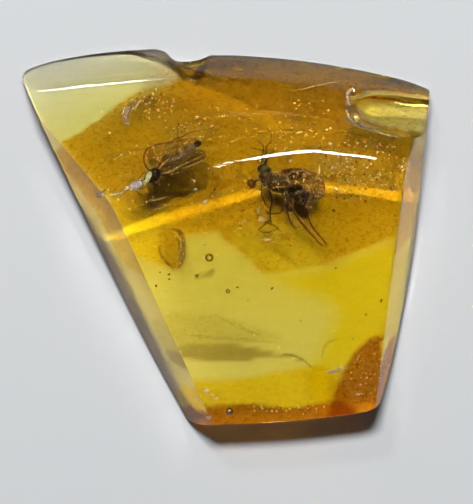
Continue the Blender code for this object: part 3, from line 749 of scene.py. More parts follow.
def loft(shape, path, radii, sides, flatness=1.0):
    """A closed round body along a path in metres, with a radius at each point. Returns its vertices."""
    rings = []
    for index, point in enumerate(path):
        ahead = path[min(index + 1, len(path) - 1)] - path[max(index - 1, 0)]
        sideways = ahead.cross(UP).normalized()
        upward = sideways.cross(ahead).normalized()
        ring = []
        for corner in range(sides):
            angle = 2 * math.pi * corner / sides
            reach = sideways * math.cos(angle) + upward * math.sin(angle) * flatness
            ring.append(shape.verts.new(point + reach * radii[index]))
        rings.append(ring)
    for near, far in zip(rings, rings[1:]):
        for corner in range(sides):
            after = (corner + 1) % sides
            shape.faces.new((near[corner], near[after], far[after], far[corner]))
    shape.faces.new(list(reversed(rings[0])))
    shape.faces.new(rings[-1])
    return [vert for ring in rings for vert in ring]


def body_part(shape, knots, flatness, segments, colour, other, origin, seed):
    """A rounded part of a body, ringed by shallow grooves where it has segments, with a lumpy surface."""
    path = smooth_curve([Vector(knot) for knot in knots], BODY_STEPS)
    last = len(path) - 1
    radii = []
    for index, point in enumerate(path):
        groove = 0.09 * abs(math.cos(math.pi * segments * index / last)) ** 6 if segments else 0.0
        radii.append(max(0.01, point.w) * (1 - groove) * MM)
    verts = loft(shape, [origin + p.xyz * MM for p in path], radii, BODY_SIDES, flatness)
    for vert in verts:
        lump = noise.noise(vert.co * (5.0 / MM) + Vector((seed, 3.0, 1.0)))
        vert.co += Vector((lump, -lump, lump)) * 0.03 * MM
    paint(shape, verts, colour, other, seed)
    return path


def limb(shape, knots, radius, colour, origin, rng):
    """A jointed leg or feeler: it swells at each joint, tapers to its tip, and bears short bristles."""
    path = smooth_curve([Vector(knot) for knot in knots], LIMB_STEPS)
    last = len(path) - 1
    radii = []
    for index in range(last + 1):
        taper = 1.0 - 0.55 * index / last
        knee = 1.0 + 0.30 * max(0.0, math.cos(2 * math.pi * index / LIMB_STEPS)) ** 8
        radii.append(radius * taper * knee * MM)
    places = [origin + p * MM for p in path]
    verts = loft(shape, places, radii, LIMB_SIDES)
    darker = tuple(0.45 * value for value in colour)
    paint(shape, verts, colour, darker, radius * 100)
    for index in range(1, last):
        for _ in range(2):
            ahead = (places[index + 1] - places[index - 1]).normalized()
            side = Vector((rng.uniform(-1, 1), rng.uniform(-1, 1), rng.uniform(-1, 1))).cross(ahead).normalized()
            bristle(shape, places[index] + side * radii[index] * 0.6, side + ahead * 0.9, radius * 2.2 * MM, darker)


def bristle(shape, root, way, length, colour):
    """A stiff hair, as a narrow spike of three sides."""
    way = way.normalized()
    side = way.orthogonal().normalized() * length * BRISTLE_STOUTNESS
    across = way.cross(side)
    base = [shape.verts.new(root + side * a + across * b) for a, b in ((1.0, 0.0), (-0.5, 0.87), (-0.5, -0.87))]
    tip = shape.verts.new(root + way * length)
    for one, two in zip(base, base[1:] + base[:1]):
        shape.faces.new((one, two, tip))
    shape.faces.new(list(reversed(base)))
    paint(shape, base + [tip], colour, colour, 0.0)


def bristles_round(shape, path, origin, count, length, colours, rng):
    """Bristles over a rounded body part."""
    for _ in range(count):
        point = path[rng.randrange(len(path) // 8, len(path) * 7 // 8)]
        way = Vector((rng.uniform(-1, 1), rng.uniform(-1, 1), rng.uniform(-0.2, 1))).normalized()
        root = origin + (point.xyz + way * point.w * 0.9) * MM
        bristle(shape, root, way + Vector((0.5, -0.3, 0.1)), length * rng.uniform(0.6, 1.3) * MM, rng.choice(colours))


def wing(shape, veins, points, height, vein_colours, origin):
    """A thin pleated wing within an outline, and its veins as fine ribs in another shape."""
    rim = smooth_curve([Vector(p) for p in points + points[:1]], WING_STEPS)[:-1]
    root = Vector(points[0])
    middle = sum((Vector(p) for p in rim), Vector((0.0, 0.0))) / len(rim)

    def lifted(flat, side):
        away = flat - root
        pleat = 0.035 * math.sin(9.0 * math.atan2(away.y, away.x)) * min(1.0, away.length)
        return origin + Vector((flat.x, flat.y, height + pleat + side * WING_THICKNESS / 2)) * MM

    sheets = []
    for side in (1, -1):
        rings = []
        for ring in range(1, WING_RINGS + 1):
            share = ring / WING_RINGS
            rings.append([shape.verts.new(lifted(middle.lerp(p, share), side)) for p in rim])
        hub = shape.verts.new(lifted(middle, side))
        for index in range(len(rim)):
            after = (index + 1) % len(rim)
            corners = [hub, rings[0][index], rings[0][after]]
            shape.faces.new(corners if side > 0 else list(reversed(corners)))
            for inner, outer in zip(rings, rings[1:]):
                corners = [inner[index], outer[index], outer[after], inner[after]]
                shape.faces.new(corners if side > 0 else list(reversed(corners)))
        sheets.append(rings[-1])
    for index in range(len(rim)):
        after = (index + 1) % len(rim)
        shape.faces.new((sheets[0][index], sheets[1][index], sheets[1][after], sheets[0][after]))
    for number in range(VEINS):
        end = rim[int(len(rim) * (0.22 + 0.56 * number / (VEINS - 1)))]
        bend = middle.lerp(end, 0.35)
        course = smooth_curve([root, root.lerp(bend, 0.55), root.lerp(end, 0.75), end], 6)
        line = [lifted(p, 0) for p in course]
        verts = loft(veins, line, [0.026 * MM * (1 - 0.5 * i / len(line)) for i in range(len(line))], 6)
        paint(veins, verts, *vein_colours, number)
    edge = [lifted(p, 0) for p in rim]
    verts = loft(veins, edge, [0.030 * MM] * len(edge), 6)
    paint(veins, verts, *vein_colours, VEINS)


def insect(place, level, parts, limbs, wings, seed):
    """An insect's body with its legs, veins and bristles, and its wings as a second piece."""
    rng = random.Random(seed)
    shift = seen_shift(place[0], place[1], level)
    origin = Vector((shift.x, shift.y, level)) * MM
    body, sheets = bmesh.new(), bmesh.new()
    body.verts.layers.float_color.new("shade")
    paths = {}
    for number, (part, (knots, flatness, segments, colour, other)) in enumerate(parts.items()):
        paths[part] = body_part(body, knots, flatness, segments, colour, other, origin, seed + number)
    for knots, radius, colour in limbs.values():
        limb(body, knots, radius, colour, origin, rng)
    for points, height, vein_colours in wings.values():
        wing(sheets, body, points, height, vein_colours, origin)
    for shape in (body, sheets):
        bmesh.ops.recalc_face_normals(shape, faces=shape.faces)
    return body, sheets, paths, origin, rng


def gnat():
    """The gnat, with its thorax and abdomen bristles."""
    body, sheets, paths, origin, rng = insect(
        (-4.6, 4.6), GNAT_LEVEL, GNAT_PARTS, GNAT_LIMBS, GNAT_WINGS, 11
    )
    bristles_round(body, paths["thorax"], origin, 60, 0.16, (BLACK, DARK_BROWN, GREY_BROWN), rng)
    bristles_round(body, paths["abdomen"], origin, 160, 0.16, (DARK_BROWN, GREY_BROWN, BEIGE, BEIGE), rng)
    return add_mesh_object("gnat_body", body), add_mesh_object("gnat_wings", sheets)


def fly():
    """The fly, with the pale dusting of its thorax and its bristles."""
    body, sheets, paths, origin, rng = insect(
        (3.6, 3.2), FLY_LEVEL, FLY_PARTS, FLY_LIMBS, FLY_WINGS, 23
    )
    bristles_round(body, paths["thorax"], origin, 420, 0.20, (BEIGE, BEIGE, GREY_BROWN, BLACK), rng)
    bristles_round(body, paths["abdomen"], origin, 200, 0.16, (BLACK, DARK_BROWN, GREY_BROWN), rng)
    bristles_round(body, paths["head"], origin, 60, 0.12, (BLACK, OLIVE_GREY), rng)
    return add_mesh_object("fly_body", body), add_mesh_object("fly_wings", sheets)


# Small things sealed in the amber, painted glints among them, in mm, each placed where it is seen from above and at a
# depth below there.
WHITISH = (1.0, 0.97, 0.86)
GOLD = (1.0, 0.80, 0.34)
ORANGE = (0.62, 0.24, 0.035)
GREENISH = (0.80, 0.88, 0.70)
LILAC = (0.86, 0.82, 0.98)
OLIVE = (0.20, 0.17, 0.05)
CURL_BROWN = (0.40, 0.18, 0.04)
# Flecks: place, half length, half width, turn and colour. The whitish, greenish and gold ones are painted
# glints: bright flakes standing in for the lamp caught in tiny bubbles and cracks. The black ones are specks.
FLECKS = (
    (-6.49, 3.30, 0.17, 0.11, 20, WHITISH), (-6.84, 3.37, 0.14, 0.09, 0, WHITISH),
    (-6.66, 1.86, 0.12, 0.09, 40, GOLD), (-2.22, 3.81, 0.21, 0.09, -20, WHITISH),
    (-2.08, 3.19, 0.18, 0.11, 30, WHITISH), (-1.41, 2.37, 0.27, 0.14, 35, WHITISH),
    (-0.89, 2.74, 0.17, 0.09, -10, GOLD), (-1.76, 6.87, 0.12, 0.09, 0, WHITISH),
    (2.31, 1.79, 0.26, 0.17, 60, GREENISH), (2.47, 1.13, 0.43, 0.27, 25, GOLD),
    (1.28, 0.99, 0.21, 0.11, 70, GOLD), (1.04, 0.53, 0.17, 0.11, 20, GOLD),
    (2.86, -0.26, 0.48, 0.09, 8, GOLD), (4.15, 6.10, 0.17, 0.09, 0, GOLD),
    (4.50, 5.19, 0.17, 0.11, 40, WHITISH), (5.80, 1.97, 0.18, 0.12, 0, WHITISH),
    (6.46, 4.59, 0.38, 0.09, 85, GOLD), (7.23, 6.38, 0.17, 0.11, 10, WHITISH),
    (7.37, 4.70, 0.17, 0.11, 50, WHITISH), (7.62, 3.23, 0.17, 0.12, 0, WHITISH),
    (-1.31, -10.75, 0.26, 0.17, 30, WHITISH), (-0.96, -11.12, 0.22, 0.15, -30, GOLD),
    (-0.68, -11.33, 0.21, 0.12, 15, GOLD), (-1.73, -12.59, 0.21, 0.12, 0, GOLD),
    (-1.24, -12.66, 0.20, 0.11, 20, WHITISH), (9.19, -11.02, 0.17, 0.11, 0, WHITISH),
    (7.51, -9.41, 0.52, 0.17, 8, WHITISH), (8.07, -9.16, 0.22, 0.11, -20, WHITISH),
    (1.35, 0.99, 0.12, 0.09, 0, WHITISH), (5.90, 7.29, 0.26, 0.09, -30, GOLD),
    (5.55, 7.01, 0.21, 0.09, 60, GOLD), (5.06, 7.15, 0.21, 0.08, 20, GOLD),
    (8.35, 5.33, 0.12, 0.09, 0, WHITISH), (8.84, 4.56, 0.15, 0.09, 20, GOLD),
    (10.24, 5.33, 0.14, 0.09, 0, GOLD), (11.08, 3.51, 0.17, 0.09, 10, GOLD),
    (11.64, 3.09, 0.17, 0.08, 0, WHITISH), (9.47, 3.58, 0.12, 0.09, 0, GOLD),
    (-4.74, 8.76, 0.15, 0.09, 0, GOLD), (-4.39, 9.25, 0.17, 0.11, 30, GOLD),
    (-5.58, 8.69, 0.15, 0.09, 10, GOLD), (-5.30, 9.25, 0.14, 0.09, 50, GOLD),
    (-1.45, 8.13, 0.14, 0.09, 0, GOLD), (-0.96, 7.64, 0.15, 0.09, 20, GOLD),
    (-0.26, 8.27, 0.12, 0.09, 0, GOLD), (-2.01, 8.27, 0.14, 0.09, 0, WHITISH),
    (-8.10, 7.15, 0.14, 0.09, 0, GOLD), (-8.66, 8.69, 0.12, 0.09, 0, WHITISH),
    (-3.90, -2.65, 0.11, 0.08, 20, BLACK), (-3.90, -3.00, 0.09, 0.06, 0, BLACK),
    (-4.81, -3.47, 0.11, 0.08, 40, BLACK), (0.83, -3.56, 0.11, 0.08, 10, BLACK),
    (3.24, -3.61, 0.14, 0.08, 60, BLACK), (-4.53, -2.51, 0.08, 0.06, 0, BLACK),
    (10.80, -4.47, 0.15, 0.07, 80, BLACK), (9.75, -5.45, 0.11, 0.08, 60, BLACK),
    (7.65, -2.23, 0.10, 0.07, 20, BLACK), (7.48, 1.76, 0.14, 0.08, -20, BLACK),
    (1.56, -4.47, 0.06, 0.05, 0, BLACK), (4.50, -0.69, 0.06, 0.05, 0, BLACK),
    (-1.45, -0.62, 0.06, 0.05, 0, BLACK), (5.20, -5.87, 0.06, 0.05, 0, BLACK),
    (8.84, -7.13, 0.07, 0.05, 0, BLACK), (-0.40, -7.97, 0.06, 0.04, 0, BLACK),
)
FLECK_DEPTH = 0.32
FLECK_CORNERS = 7
# Swarms of fine flecks: the oval each fills, as its middle and half widths, and how many there are. The gold
# and whitish ones among them are painted glints of tiny bubbles.
SWARMS = (
    ((9.40, 4.60), (3.30, 2.30), 340), ((5.20, 6.60), (2.60, 0.90), 60), ((-5.10, 9.20), (1.60, 1.10), 70), ((-1.40, 7.60), (3.40, 1.60), 80),
    ((5.20, 8.20), (4.20, 1.30), 70), ((-6.60, 4.40), (3.40, 2.20), 60), ((1.20, 2.40), (3.60, 1.90), 60),
    ((10.20, -9.60), (1.50, 1.60), 60), ((4.20, -12.05), (3.00, 0.40), 40),
)
FLAKE_MIDDLE = CHIPS["corner_flake"][0]
SWARM_SIZES = (0.025, 0.075)
SWARM_DEPTHS = (0.30, 1.10)
# Veils and strands: the path each follows, its half width, its depth, its colour and how much it covers.
VEILS = {
    "milky head": (((-6.63, 3.30), (-6.35, 3.44), (-6.00, 3.58), (-5.72, 3.72)), 0.36, 0.30, LILAC, 1.00),
    "milky neck": (
        ((-5.72, 3.44), (-5.51, 3.79), (-5.30, 4.21), (-5.16, 4.49)),
        0.24, 0.34, GREENISH, 0.75,
    ),
    "milky trail": (((-7.40, 2.95), (-6.98, 3.16), (-6.63, 3.30)), 0.14, 0.40, LILAC, 0.30),
    "smudge left": (((-9.01, 2.74), (-8.73, 2.81), (-8.38, 2.88)), 0.17, 0.40, LILAC, 0.55),
    "smudge right": (((-7.82, 2.81), (-7.54, 2.88), (-7.19, 2.95)), 0.14, 0.40, LILAC, 0.50),
    "wisp": (((-6.56, 9.39), (-6.84, 8.83), (-6.98, 8.27), (-6.77, 7.64)), 0.29, 0.60, LILAC, 0.38),
    "wisp low": (((-6.07, 9.67), (-6.42, 9.25), (-6.63, 8.83)), 0.18, 0.60, LILAC, 0.32),
    "wisp wide": (((-7.40, 8.27), (-6.56, 8.97), (-5.30, 9.67)), 0.42, 0.90, LILAC, 0.16),
    "flake rim top": (
        ((9.19, 10.65), (8.63, 10.30), (8.42, 9.67), (8.56, 9.04)),
        0.18, 0.55, WHITISH, 0.75,
    ),
    "flake rim low": (((8.42, 8.90), (8.49, 8.34), (8.98, 7.85), (9.61, 7.50)), 0.18, 0.55, WHITISH, 0.70),
    "flake rim foot": (
        ((8.49, 8.20), (9.75, 7.50), (11.15, 7.08), (12.48, 6.73)),
        0.14, 0.55, WHITISH, 0.60,
    ),
    "flake crack": (
        ((8.84, 9.88), (9.54, 10.23), (10.73, 10.31), (12.20, 10.16), (13.53, 9.95)),
        0.14, 1.35, ORANGE, 0.85,
    ),
    "flake crack low": (((9.12, 8.13), (10.45, 7.64), (11.64, 7.29)), 0.08, 0.90, ORANGE, 0.70),
    # Painted highlight: a thin gold streak where the upper right shoulder catches the lamp.
    "painted gold highlight": (((4.36, 10.02), (5.62, 10.30), (7.02, 10.65), (8.35, 10.86)), 0.07, 0.40, GOLD, 0.55),
    "curl outer": (
        ((-3.90, 0.50), (-3.41, 0.43), (-3.06, 0.08), (-2.92, -0.55), (-2.92, -1.32), (-3.13, -1.95), (-3.41, -2.37)),
        0.20, 0.90, CURL_BROWN, 0.32,
    ),
    "curl inner": (
        ((-3.48, 0.01), (-3.20, -0.48), (-3.20, -1.25), (-3.41, -1.88)),
        0.14, 0.80, ORANGE, 0.30,
    ),
    "curl left": (
        ((-4.60, -0.62), (-4.53, -1.18), (-4.18, -1.74), (-3.62, -2.23)),
        0.14, 0.90, CURL_BROWN, 0.26,
    ),
    "curl light": (
        ((-3.27, 0.22), (-3.09, -0.48), (-3.13, -1.25), (-3.34, -1.81)),
        0.06, 0.60, GOLD, 0.55,
    ),
    "golden streak": (
        ((-5.72, 2.18), (-5.09, 2.39), (-4.39, 2.60), (-3.62, 2.88)),
        0.11, 0.50, GOLD, 0.55,
    ),
    "golden streak low": (((-5.30, 1.62), (-4.46, 2.04), (-3.76, 2.32)), 0.09, 0.50, GOLD, 0.40),
    "flow line": (
        ((-3.20, -6.85), (-1.10, -7.06), (0.86, -7.20), (2.54, -7.34), (3.94, -7.48)),
        0.16, 2.20, OLIVE, 0.06,
    ),
    "flow line pale": (
        ((-0.89, -5.38), (0.30, -6.01), (1.42, -6.54), (2.68, -6.99)),
        0.14, 1.60, WHITISH, 0.06,
    ),
    "flow arc": (
        ((3.80, -8.25), (4.36, -8.25), (4.92, -8.39), (5.34, -8.60), (5.76, -8.88)),
        0.10, 1.60, OLIVE, 0.16,
    ),
    "flow arc end": (((5.20, -8.67), (5.62, -8.88), (6.11, -9.21)), 0.09, 1.60, OLIVE, 0.12),
    "flow hook": (
        ((6.67, -8.60), (6.81, -8.04), (7.02, -7.55), (7.44, -7.27), (8.00, -7.13)),
        0.12, 1.60, OLIVE, 0.09,
    ),
    "flow swirl": (
        ((-5.30, 6.45), (-3.34, 7.57), (-0.75, 8.27), (2.05, 8.55), (5.20, 8.41), (8.00, 7.99)),
        0.17, 0.90, GOLD, 0.16,
    ),
    "flow swirl low": (
        ((1.00, 2.53), (2.54, 3.23), (5.20, 3.86), (8.35, 4.21), (11.64, 4.07)),
        0.18, 0.90, GOLD, 0.14,
    ),
    "flow swirl mid": (
        ((0.30, 6.59), (2.54, 7.15), (5.20, 7.36), (8.35, 7.15), (11.15, 6.59)),
        0.14, 0.80, ORANGE, 0.16,
    ),
    "flow left": (((-8.80, 4.98), (-7.68, 5.47), (-6.42, 5.89), (-5.30, 6.10)), 0.14, 0.80, GOLD, 0.14),
    "stain by the fly": (((2.54, 0.29), (3.52, -0.13), (4.64, 0.01)), 0.35, 1.20, ORANGE, 0.16),
}
VEIL_STEPS = 6
VEIL_SIDES = 12
VEIL_FLATNESS = 0.22


def sealed_place(x, y, depth):
    """The place in metres that is seen from above at this place in mm, at a depth in mm below the top there."""
    height, normal = top_height(x * MM, y * MM)
    return beneath(x, y, height / MM - depth), normal


def fleck(shape, place, depth, length, width, turn, colour, rng):
    """A small flake with an uneven edge, lying along the top face above it."""
    middle, normal = sealed_place(*place, depth)
    lean = UP.rotation_difference(normal).to_matrix() @ Matrix.Rotation(math.radians(turn), 3, "Z")

    def corner(along, across, up):
        return shape.verts.new(middle + lean @ Vector((along, across, up)) * MM)

    rim = []
    for number in range(FLECK_CORNERS):
        angle = 2 * math.pi * number / FLECK_CORNERS
        reach = rng.uniform(0.65, 1.2)
        rim.append(corner(length * reach * math.cos(angle), width * reach * math.sin(angle), 0.0))
    high, low = corner(0.1 * length, 0.0, 0.6 * width), corner(0.0, 0.0, -0.6 * width)
    for one, two in zip(rim, rim[1:] + rim[:1]):
        shape.faces.new((one, two, high))
        shape.faces.new((two, one, low))
    paint(shape, rim + [high, low], colour, tuple(0.8 * value for value in colour), turn)


def flecks():
    """Painted glints as bright flakes, dark specks, and swarms of fine flecks with more painted glints among them."""
    rng = random.Random(5)
    shape = bmesh.new()
    shape.verts.layers.float_color.new("shade")
    for x, y, length, width, turn, colour in FLECKS:
        fleck(shape, (x, y), FLECK_DEPTH, length, width, turn, colour, rng)
    for middle, widths, count in SWARMS:
        for _ in range(count):
            angle, away = rng.uniform(0.0, 2 * math.pi), math.sqrt(rng.random())
            place = (middle[0] + widths[0] * away * math.cos(angle), middle[1] + widths[1] * away * math.sin(angle))
            size = rng.uniform(*SWARM_SIZES)
            true_place = sealed_place(*place, SWARM_DEPTHS[1])[0]
            cover = top_height(true_place.x, true_place.y)[0] - true_place.z
            by_flake = math.hypot((place[0] - FLAKE_MIDDLE[0]) / 5.9, (place[1] - FLAKE_MIDDLE[1]) / 2.3)
            if cover < 0.4 * MM or by_flake < 1.0:
                continue
            colour = rng.choice((GOLD, GOLD, WHITISH, ORANGE, RED_BROWN))
            fleck(shape, place, rng.uniform(*SWARM_DEPTHS), size * 1.5, size, rng.uniform(0, 180), colour, rng)
    return add_mesh_object("flecks", shape)


def veils():
    """The milky wisps, the brown curl and the flow lines, each fading out towards its edges."""
    shape = bmesh.new()
    layer = shape.verts.layers.float_color.new("shade")
    for knots, width, depth, colour, cover in VEILS.values():
        path = smooth_curve([Vector(knot) for knot in knots], VEIL_STEPS)
        rings = len(path)
        swell = [math.sin(math.pi * (ring + 0.5) / rings) for ring in range(rings)]
        places = [sealed_place(p.x, p.y, depth)[0] for p in path]
        verts = loft(shape, places, [width * MM * math.sqrt(share) for share in swell], VEIL_SIDES, VEIL_FLATNESS)
        for number, vert in enumerate(verts):
            ring, corner = divmod(number, VEIL_SIDES)
            middle = abs(math.sin(2 * math.pi * corner / VEIL_SIDES))
            vert[layer] = (*colour, cover * middle * min(1.0, 2 * swell[ring]))
    bmesh.ops.recalc_face_normals(shape, faces=shape.faces)
    return add_mesh_object("veils", shape)


class Nodes:
    """Builds a material's node tree: each call adds one node and sets or links its inputs."""

    def __init__(self, name):
        self.material = bpy.data.materials.new(name)
        self.material.use_nodes = True
        self.tree = self.material.node_tree
        self.surface = self.tree.nodes["Principled BSDF"]
        self.output = self.tree.nodes["Material Output"]

    def set(self, node, inputs):
        """Sets each input of a node to a value, or links a socket to it."""
        for name, value in inputs.items():
            socket = node.inputs[name]
            if isinstance(value, bpy.types.NodeSocket):
                self.tree.links.new(value, socket)
            elif isinstance(value, tuple) and len(value) == 3 and socket.type == "RGBA":
                socket.default_value = (*value, 1.0)
            else:
                socket.default_value = value

    def add(self, kind, output=0, **inputs):
        """Adds a node and returns one of its outputs."""
        node = self.tree.nodes.new(kind)
        self.set(node, inputs)
        return node.outputs[output]

    def place(self, scale, turn=0.0):
        """A place on the piece, stretched by a scale along each axis."""
        where = self.add("ShaderNodeTexCoord", "Object")
        return self.add("ShaderNodeMapping", Vector=where, Scale=scale, Rotation=(0.0, 0.0, math.radians(turn)))

    def noise(self, place, scale, detail=4.0, roughness=0.6, distortion=0.0):
        """Soft noise from 0 to 1."""
        node = self.tree.nodes.new("ShaderNodeTexNoise")
        self.set(node, {
            "Vector": place, "Scale": scale, "Detail": detail, "Roughness": roughness, "Distortion": distortion
        })
        return node.outputs["Fac"]

    def ramp(self, amount, stops):
        """Colours chosen along a ramp: stops are pairs of a place and a colour."""
        node = self.tree.nodes.new("ShaderNodeValToRGB")
        self.tree.links.new(amount, node.inputs["Fac"])
        elements = node.color_ramp.elements
        while len(elements) < len(stops):
            elements.new(0.5)
        for element, (where, colour) in zip(elements, stops):
            element.position = where
            element.color = (*colour, 1.0)
        return node.outputs["Color"]

    def mix(self, share, one, other, kind="MIX"):
        """Blends two colours."""
        node = self.tree.nodes.new("ShaderNodeMix")
        node.data_type = "RGBA"
        node.blend_type = kind
        for socket, value in ((node.inputs[0], share), (node.inputs[6], one), (node.inputs[7], other)):
            if isinstance(value, bpy.types.NodeSocket):
                self.tree.links.new(value, socket)
            elif isinstance(value, tuple):
                socket.default_value = (*value, 1.0)
            else:
                socket.default_value = value
        return node.outputs[2]

    def range(self, amount, low, high, from_low=0.0, from_high=1.0):
        """A number moved from one range to another."""
        return self.add("ShaderNodeMapRange", **{
            "Value": amount, "From Min": from_low, "From Max": from_high, "To Min": low, "To Max": high
        })

    def bump(self, height, distance, strength=1.0, before=None):
        """A bumpy normal from a height of 0 to 1."""
        inputs = {"Height": height, "Distance": distance, "Strength": strength}
        if before:
            inputs["Normal"] = before
        return self.add("ShaderNodeBump", **inputs)


def amber_material():
    """Clear golden amber: absorption by depth, colour zones with painted shade among them, fine grain in them, and
    ground bevels.
    """
    nodes = Nodes("clear_amber")
    zone = nodes.tree.nodes.new("ShaderNodeAttribute")
    zone.attribute_name = "tint"
    ground = nodes.tree.nodes.new("ShaderNodeAttribute")
    ground.attribute_name = "ground"
    grain = nodes.noise(nodes.place((2600.0, 3600.0, 3000.0), 12.0), 1.0, 5.0, 0.75, 0.9)
    speckle = nodes.ramp(grain, (
        (0.36, (0.42, 0.26, 0.15)), (0.47, (0.86, 0.76, 0.60)), (0.54, (1.0, 1.0, 1.0)), (0.66, (1.0, 1.0, 1.0)),
    ))
    streaks = nodes.noise(nodes.place((130.0, 900.0, 400.0), -14.0), 1.0, 5.0, 0.6, 2.2)
    veil = nodes.ramp(streaks, ((0.34, (0.96, 0.94, 0.88)), (0.46, (1.0, 1.0, 1.0)), (0.80, (1.0, 0.99, 0.92))))
    colour = nodes.mix(zone.outputs["Alpha"], zone.outputs["Color"], speckle, "MULTIPLY")
    colour = nodes.mix(1.0, colour, veil, "MULTIPLY")
    rub = nodes.noise(nodes.place((300.0, 2500.0, 2500.0), 62.0), 1.0, 4.0, 0.6)
    dull = nodes.add("ShaderNodeMath", Value=0.0)
    dull_node = dull.node
    dull_node.operation = "MULTIPLY"
    nodes.tree.links.new(ground.outputs["Fac"], dull_node.inputs[0])
    nodes.tree.links.new(nodes.range(rub, 0.08, 0.26, 0.3, 0.7), dull_node.inputs[1])
    wave = nodes.noise(nodes.place((260.0, 260.0, 260.0)), 1.0, 2.0, 0.5)
    waved = nodes.bump(wave, 0.012 * MM)
    scratched = nodes.bump(rub, 0.004 * MM, 1.0, waved)
    nodes.set(nodes.surface, {
        "Base Color": colour, "Roughness": dull, "IOR": AMBER_IOR, "Transmission Weight": 1.0,
        "Specular IOR Level": 0.3, "Normal": scratched,
    })
    nodes.set(nodes.output, {
        "Volume": nodes.add("ShaderNodeVolumeAbsorption", Color=(1.0, 0.930, 0.27), Density=400.0)
    })
    return nodes.material


def chitin_material(name):
    """Insect skin: its own patches of colour, finely mottled, glossy where smooth."""
    nodes = Nodes(name)
    shade = nodes.tree.nodes.new("ShaderNodeAttribute")
    shade.attribute_name = "shade"
    mottle = nodes.noise(nodes.place((1.0, 1.0, 1.0)), 6000.0, 5.0, 0.65, 0.6)
    light = nodes.ramp(mottle, ((0.32, (0.45, 0.42, 0.42)), (0.5, (1.0, 1.0, 1.0)), (0.68, (1.9, 1.75, 1.6))))
    colour = nodes.mix(1.0, shade.outputs["Color"], light, "MULTIPLY")
    pores = nodes.noise(nodes.place((1.0, 1.0, 1.0)), 16000.0, 3.0, 0.6)
    nodes.set(nodes.surface, {
        "Base Color": colour, "Roughness": nodes.range(mottle, 0.28, 0.62), "IOR": 1.56,
        "Normal": nodes.bump(pores, 0.02 * MM, 0.6),
    })
    return nodes.material


def wing_material(name, colour, cover):
    """A smoky wing membrane that covers what lies under it in part."""
    nodes = Nodes(name)
    smoke = nodes.noise(nodes.place((1.0, 1.0, 1.0)), 1800.0, 5.0, 0.6, 0.8)
    pale = tuple(min(1.0, value * 1.5) for value in colour)
    nodes.set(nodes.surface, {
        "Base Color": nodes.ramp(smoke, ((0.35, colour), (0.7, pale))),
        "Roughness": nodes.range(smoke, 0.25, 0.5),
        "Alpha": nodes.range(smoke, cover * 0.6, cover * 1.3, 0.3, 0.7),
        "Normal": nodes.bump(smoke, 0.03 * MM, 0.5),
    })
    return nodes.material


def fleck_material():
    """Bright flecks, which are painted glints, and dark specks, each mottled and partly glossy."""
    nodes = Nodes("flecks")
    shade = nodes.tree.nodes.new("ShaderNodeAttribute")
    shade.attribute_name = "shade"
    mottle = nodes.noise(nodes.place((1.0, 1.0, 1.0)), 9000.0, 3.0, 0.6)
    light = nodes.ramp(mottle, ((0.30, (0.86, 0.82, 0.76)), (0.50, (1.0, 1.0, 1.0))))
    nodes.set(nodes.surface, {
        "Base Color": nodes.mix(1.0, shade.outputs["Color"], light, "MULTIPLY"),
        "Roughness": nodes.range(mottle, 0.20, 0.50), "Normal": nodes.bump(mottle, 0.02 * MM, 0.5),
    })
    return nodes.material


def veil_material():
    """Wisps that cover what lies under them in part, thinning out in patches."""
    nodes = Nodes("veils")
    shade = nodes.tree.nodes.new("ShaderNodeAttribute")
    shade.attribute_name = "shade"
    patches = nodes.noise(nodes.place((1.0, 1.0, 1.0)), 2600.0, 5.0, 0.7, 0.8)
    light = nodes.ramp(patches, ((0.30, (0.78, 0.74, 0.70)), (0.60, (1.0, 1.0, 1.0))))
    cover = nodes.add("ShaderNodeMath", Value=0.0)
    cover.node.operation = "MULTIPLY"
    nodes.tree.links.new(shade.outputs["Alpha"], cover.node.inputs[0])
    nodes.tree.links.new(nodes.range(patches, 0.35, 1.0, 0.35, 0.55), cover.node.inputs[1])
    nodes.set(nodes.surface, {
        "Base Color": nodes.mix(1.0, shade.outputs["Color"], light, "MULTIPLY"), "Alpha": cover,
        "Roughness": nodes.range(patches, 0.45, 0.80), "Normal": nodes.bump(patches, 0.02 * MM, 0.4),
    })
    return nodes.material


def floor():
    """The paper that the slip lies on."""
    shape = bmesh.new()
    bmesh.ops.create_grid(shape, x_segments=2, y_segments=2, size=0.6)
    paper = add_mesh_object("paper", shape)
    paper.location.z = -0.02 * MM
    material = bpy.data.materials.new("paper")
    material.use_nodes = True
    surface = material.node_tree.nodes["Principled BSDF"]
    surface.inputs["Base Color"].default_value = (0.640, 0.662, 0.678, 1.0)
    surface.inputs["Roughness"].default_value = 0.9
    surface.inputs["Specular IOR Level"].default_value = 0.1
    paper.data.materials.append(material)


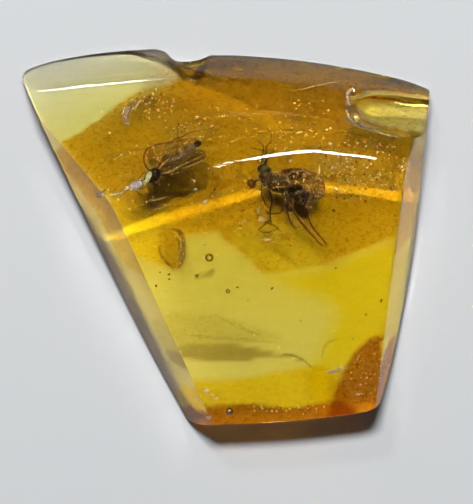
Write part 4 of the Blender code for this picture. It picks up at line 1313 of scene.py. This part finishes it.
def lamp(name, azimuth, elevation, distance, size, watts, colour=(1.0, 1.0, 1.0)):
    """A soft oval light aimed at the slip. Azimuth is the heading it stands at, +X being 0."""
    data = bpy.data.lights.new(name, "AREA")
    data.shape = "ELLIPSE"
    data.size, data.size_y = size
    data.energy = watts
    data.color = colour
    light = bpy.data.objects.new(name, data)
    around, high = math.radians(azimuth), math.radians(elevation)
    way = Vector((math.cos(high) * math.cos(around), math.cos(high) * math.sin(around), math.sin(high)))
    light.location = way * distance
    light.rotation_euler = way.to_track_quat("Z", "Y").to_euler()
    bpy.context.scene.collection.objects.link(light)
    return light


def world(strength, colour):
    """Even soft light from all round."""
    surroundings = bpy.data.worlds.new("studio")
    bpy.context.scene.world = surroundings
    surroundings.use_nodes = True
    sky = surroundings.node_tree.nodes["Background"]
    sky.inputs["Color"].default_value = (*colour, 1.0)
    sky.inputs["Strength"].default_value = strength


CAMERA_PLACE = Vector((0.76, -1.11, 250.0)) * MM
CAMERA_FOCAL = 253.6


def camera():
    """Looks straight down on the slip."""
    data = bpy.data.cameras.new("camera")
    data.lens = CAMERA_FOCAL
    data.clip_start = 0.01
    data.clip_end = 5.0
    eye = bpy.data.objects.new("camera", data)
    eye.location = CAMERA_PLACE
    bpy.context.scene.collection.objects.link(eye)
    bpy.context.scene.camera = eye


amber = amber_piece()
amber.data.materials.append(amber_material())
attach(amber, "root")
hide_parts("amber_lower", "amber_upper")
dark = dark_layer()
dark.data.materials.append(glass_material("dark_flow", (1.0, 1.0, 1.0), 1.0, 0.0, (0.899, 0.772, 0.117), 600.0))
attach(dark, "root")
for (body, wings), cad_node, slot, wing_look in (
    (gnat(), "gnat", "gnat_brown", ((0.46, 0.24, 0.08), 0.20)),
    (fly(), "fly", "fly_brown", ((0.19, 0.052, 0.024), 0.50)),
):
    smooth_shading(body, 60.0)
    smooth_shading(wings, 60.0)
    body.data.materials.append(chitin_material(body.name))
    wings.data.materials.append(wing_material(wings.name, *wing_look))
    for piece in (body, wings):
        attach(piece, "root")
    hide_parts(cad_node)
for piece, material in ((flecks(), fleck_material()), (veils(), veil_material())):
    smooth_shading(piece, 40.0)
    piece.data.materials.append(material)
    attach(piece, "root")
floor()
world(0.05, (1.0, 0.95, 0.9))
lamp("key", 93.0, 61.5, 0.5, (0.19, 0.10), 2.55)
lamp("rim light", 110.5, 41.0, 0.5, (0.06, 0.05), 0.30)
camera()
bpy.context.scene.cycles.blur_glossy = 0.0
bpy.context.scene.cycles.sample_clamp_indirect = 0.0
bpy.context.scene.view_settings.view_transform = "Standard"
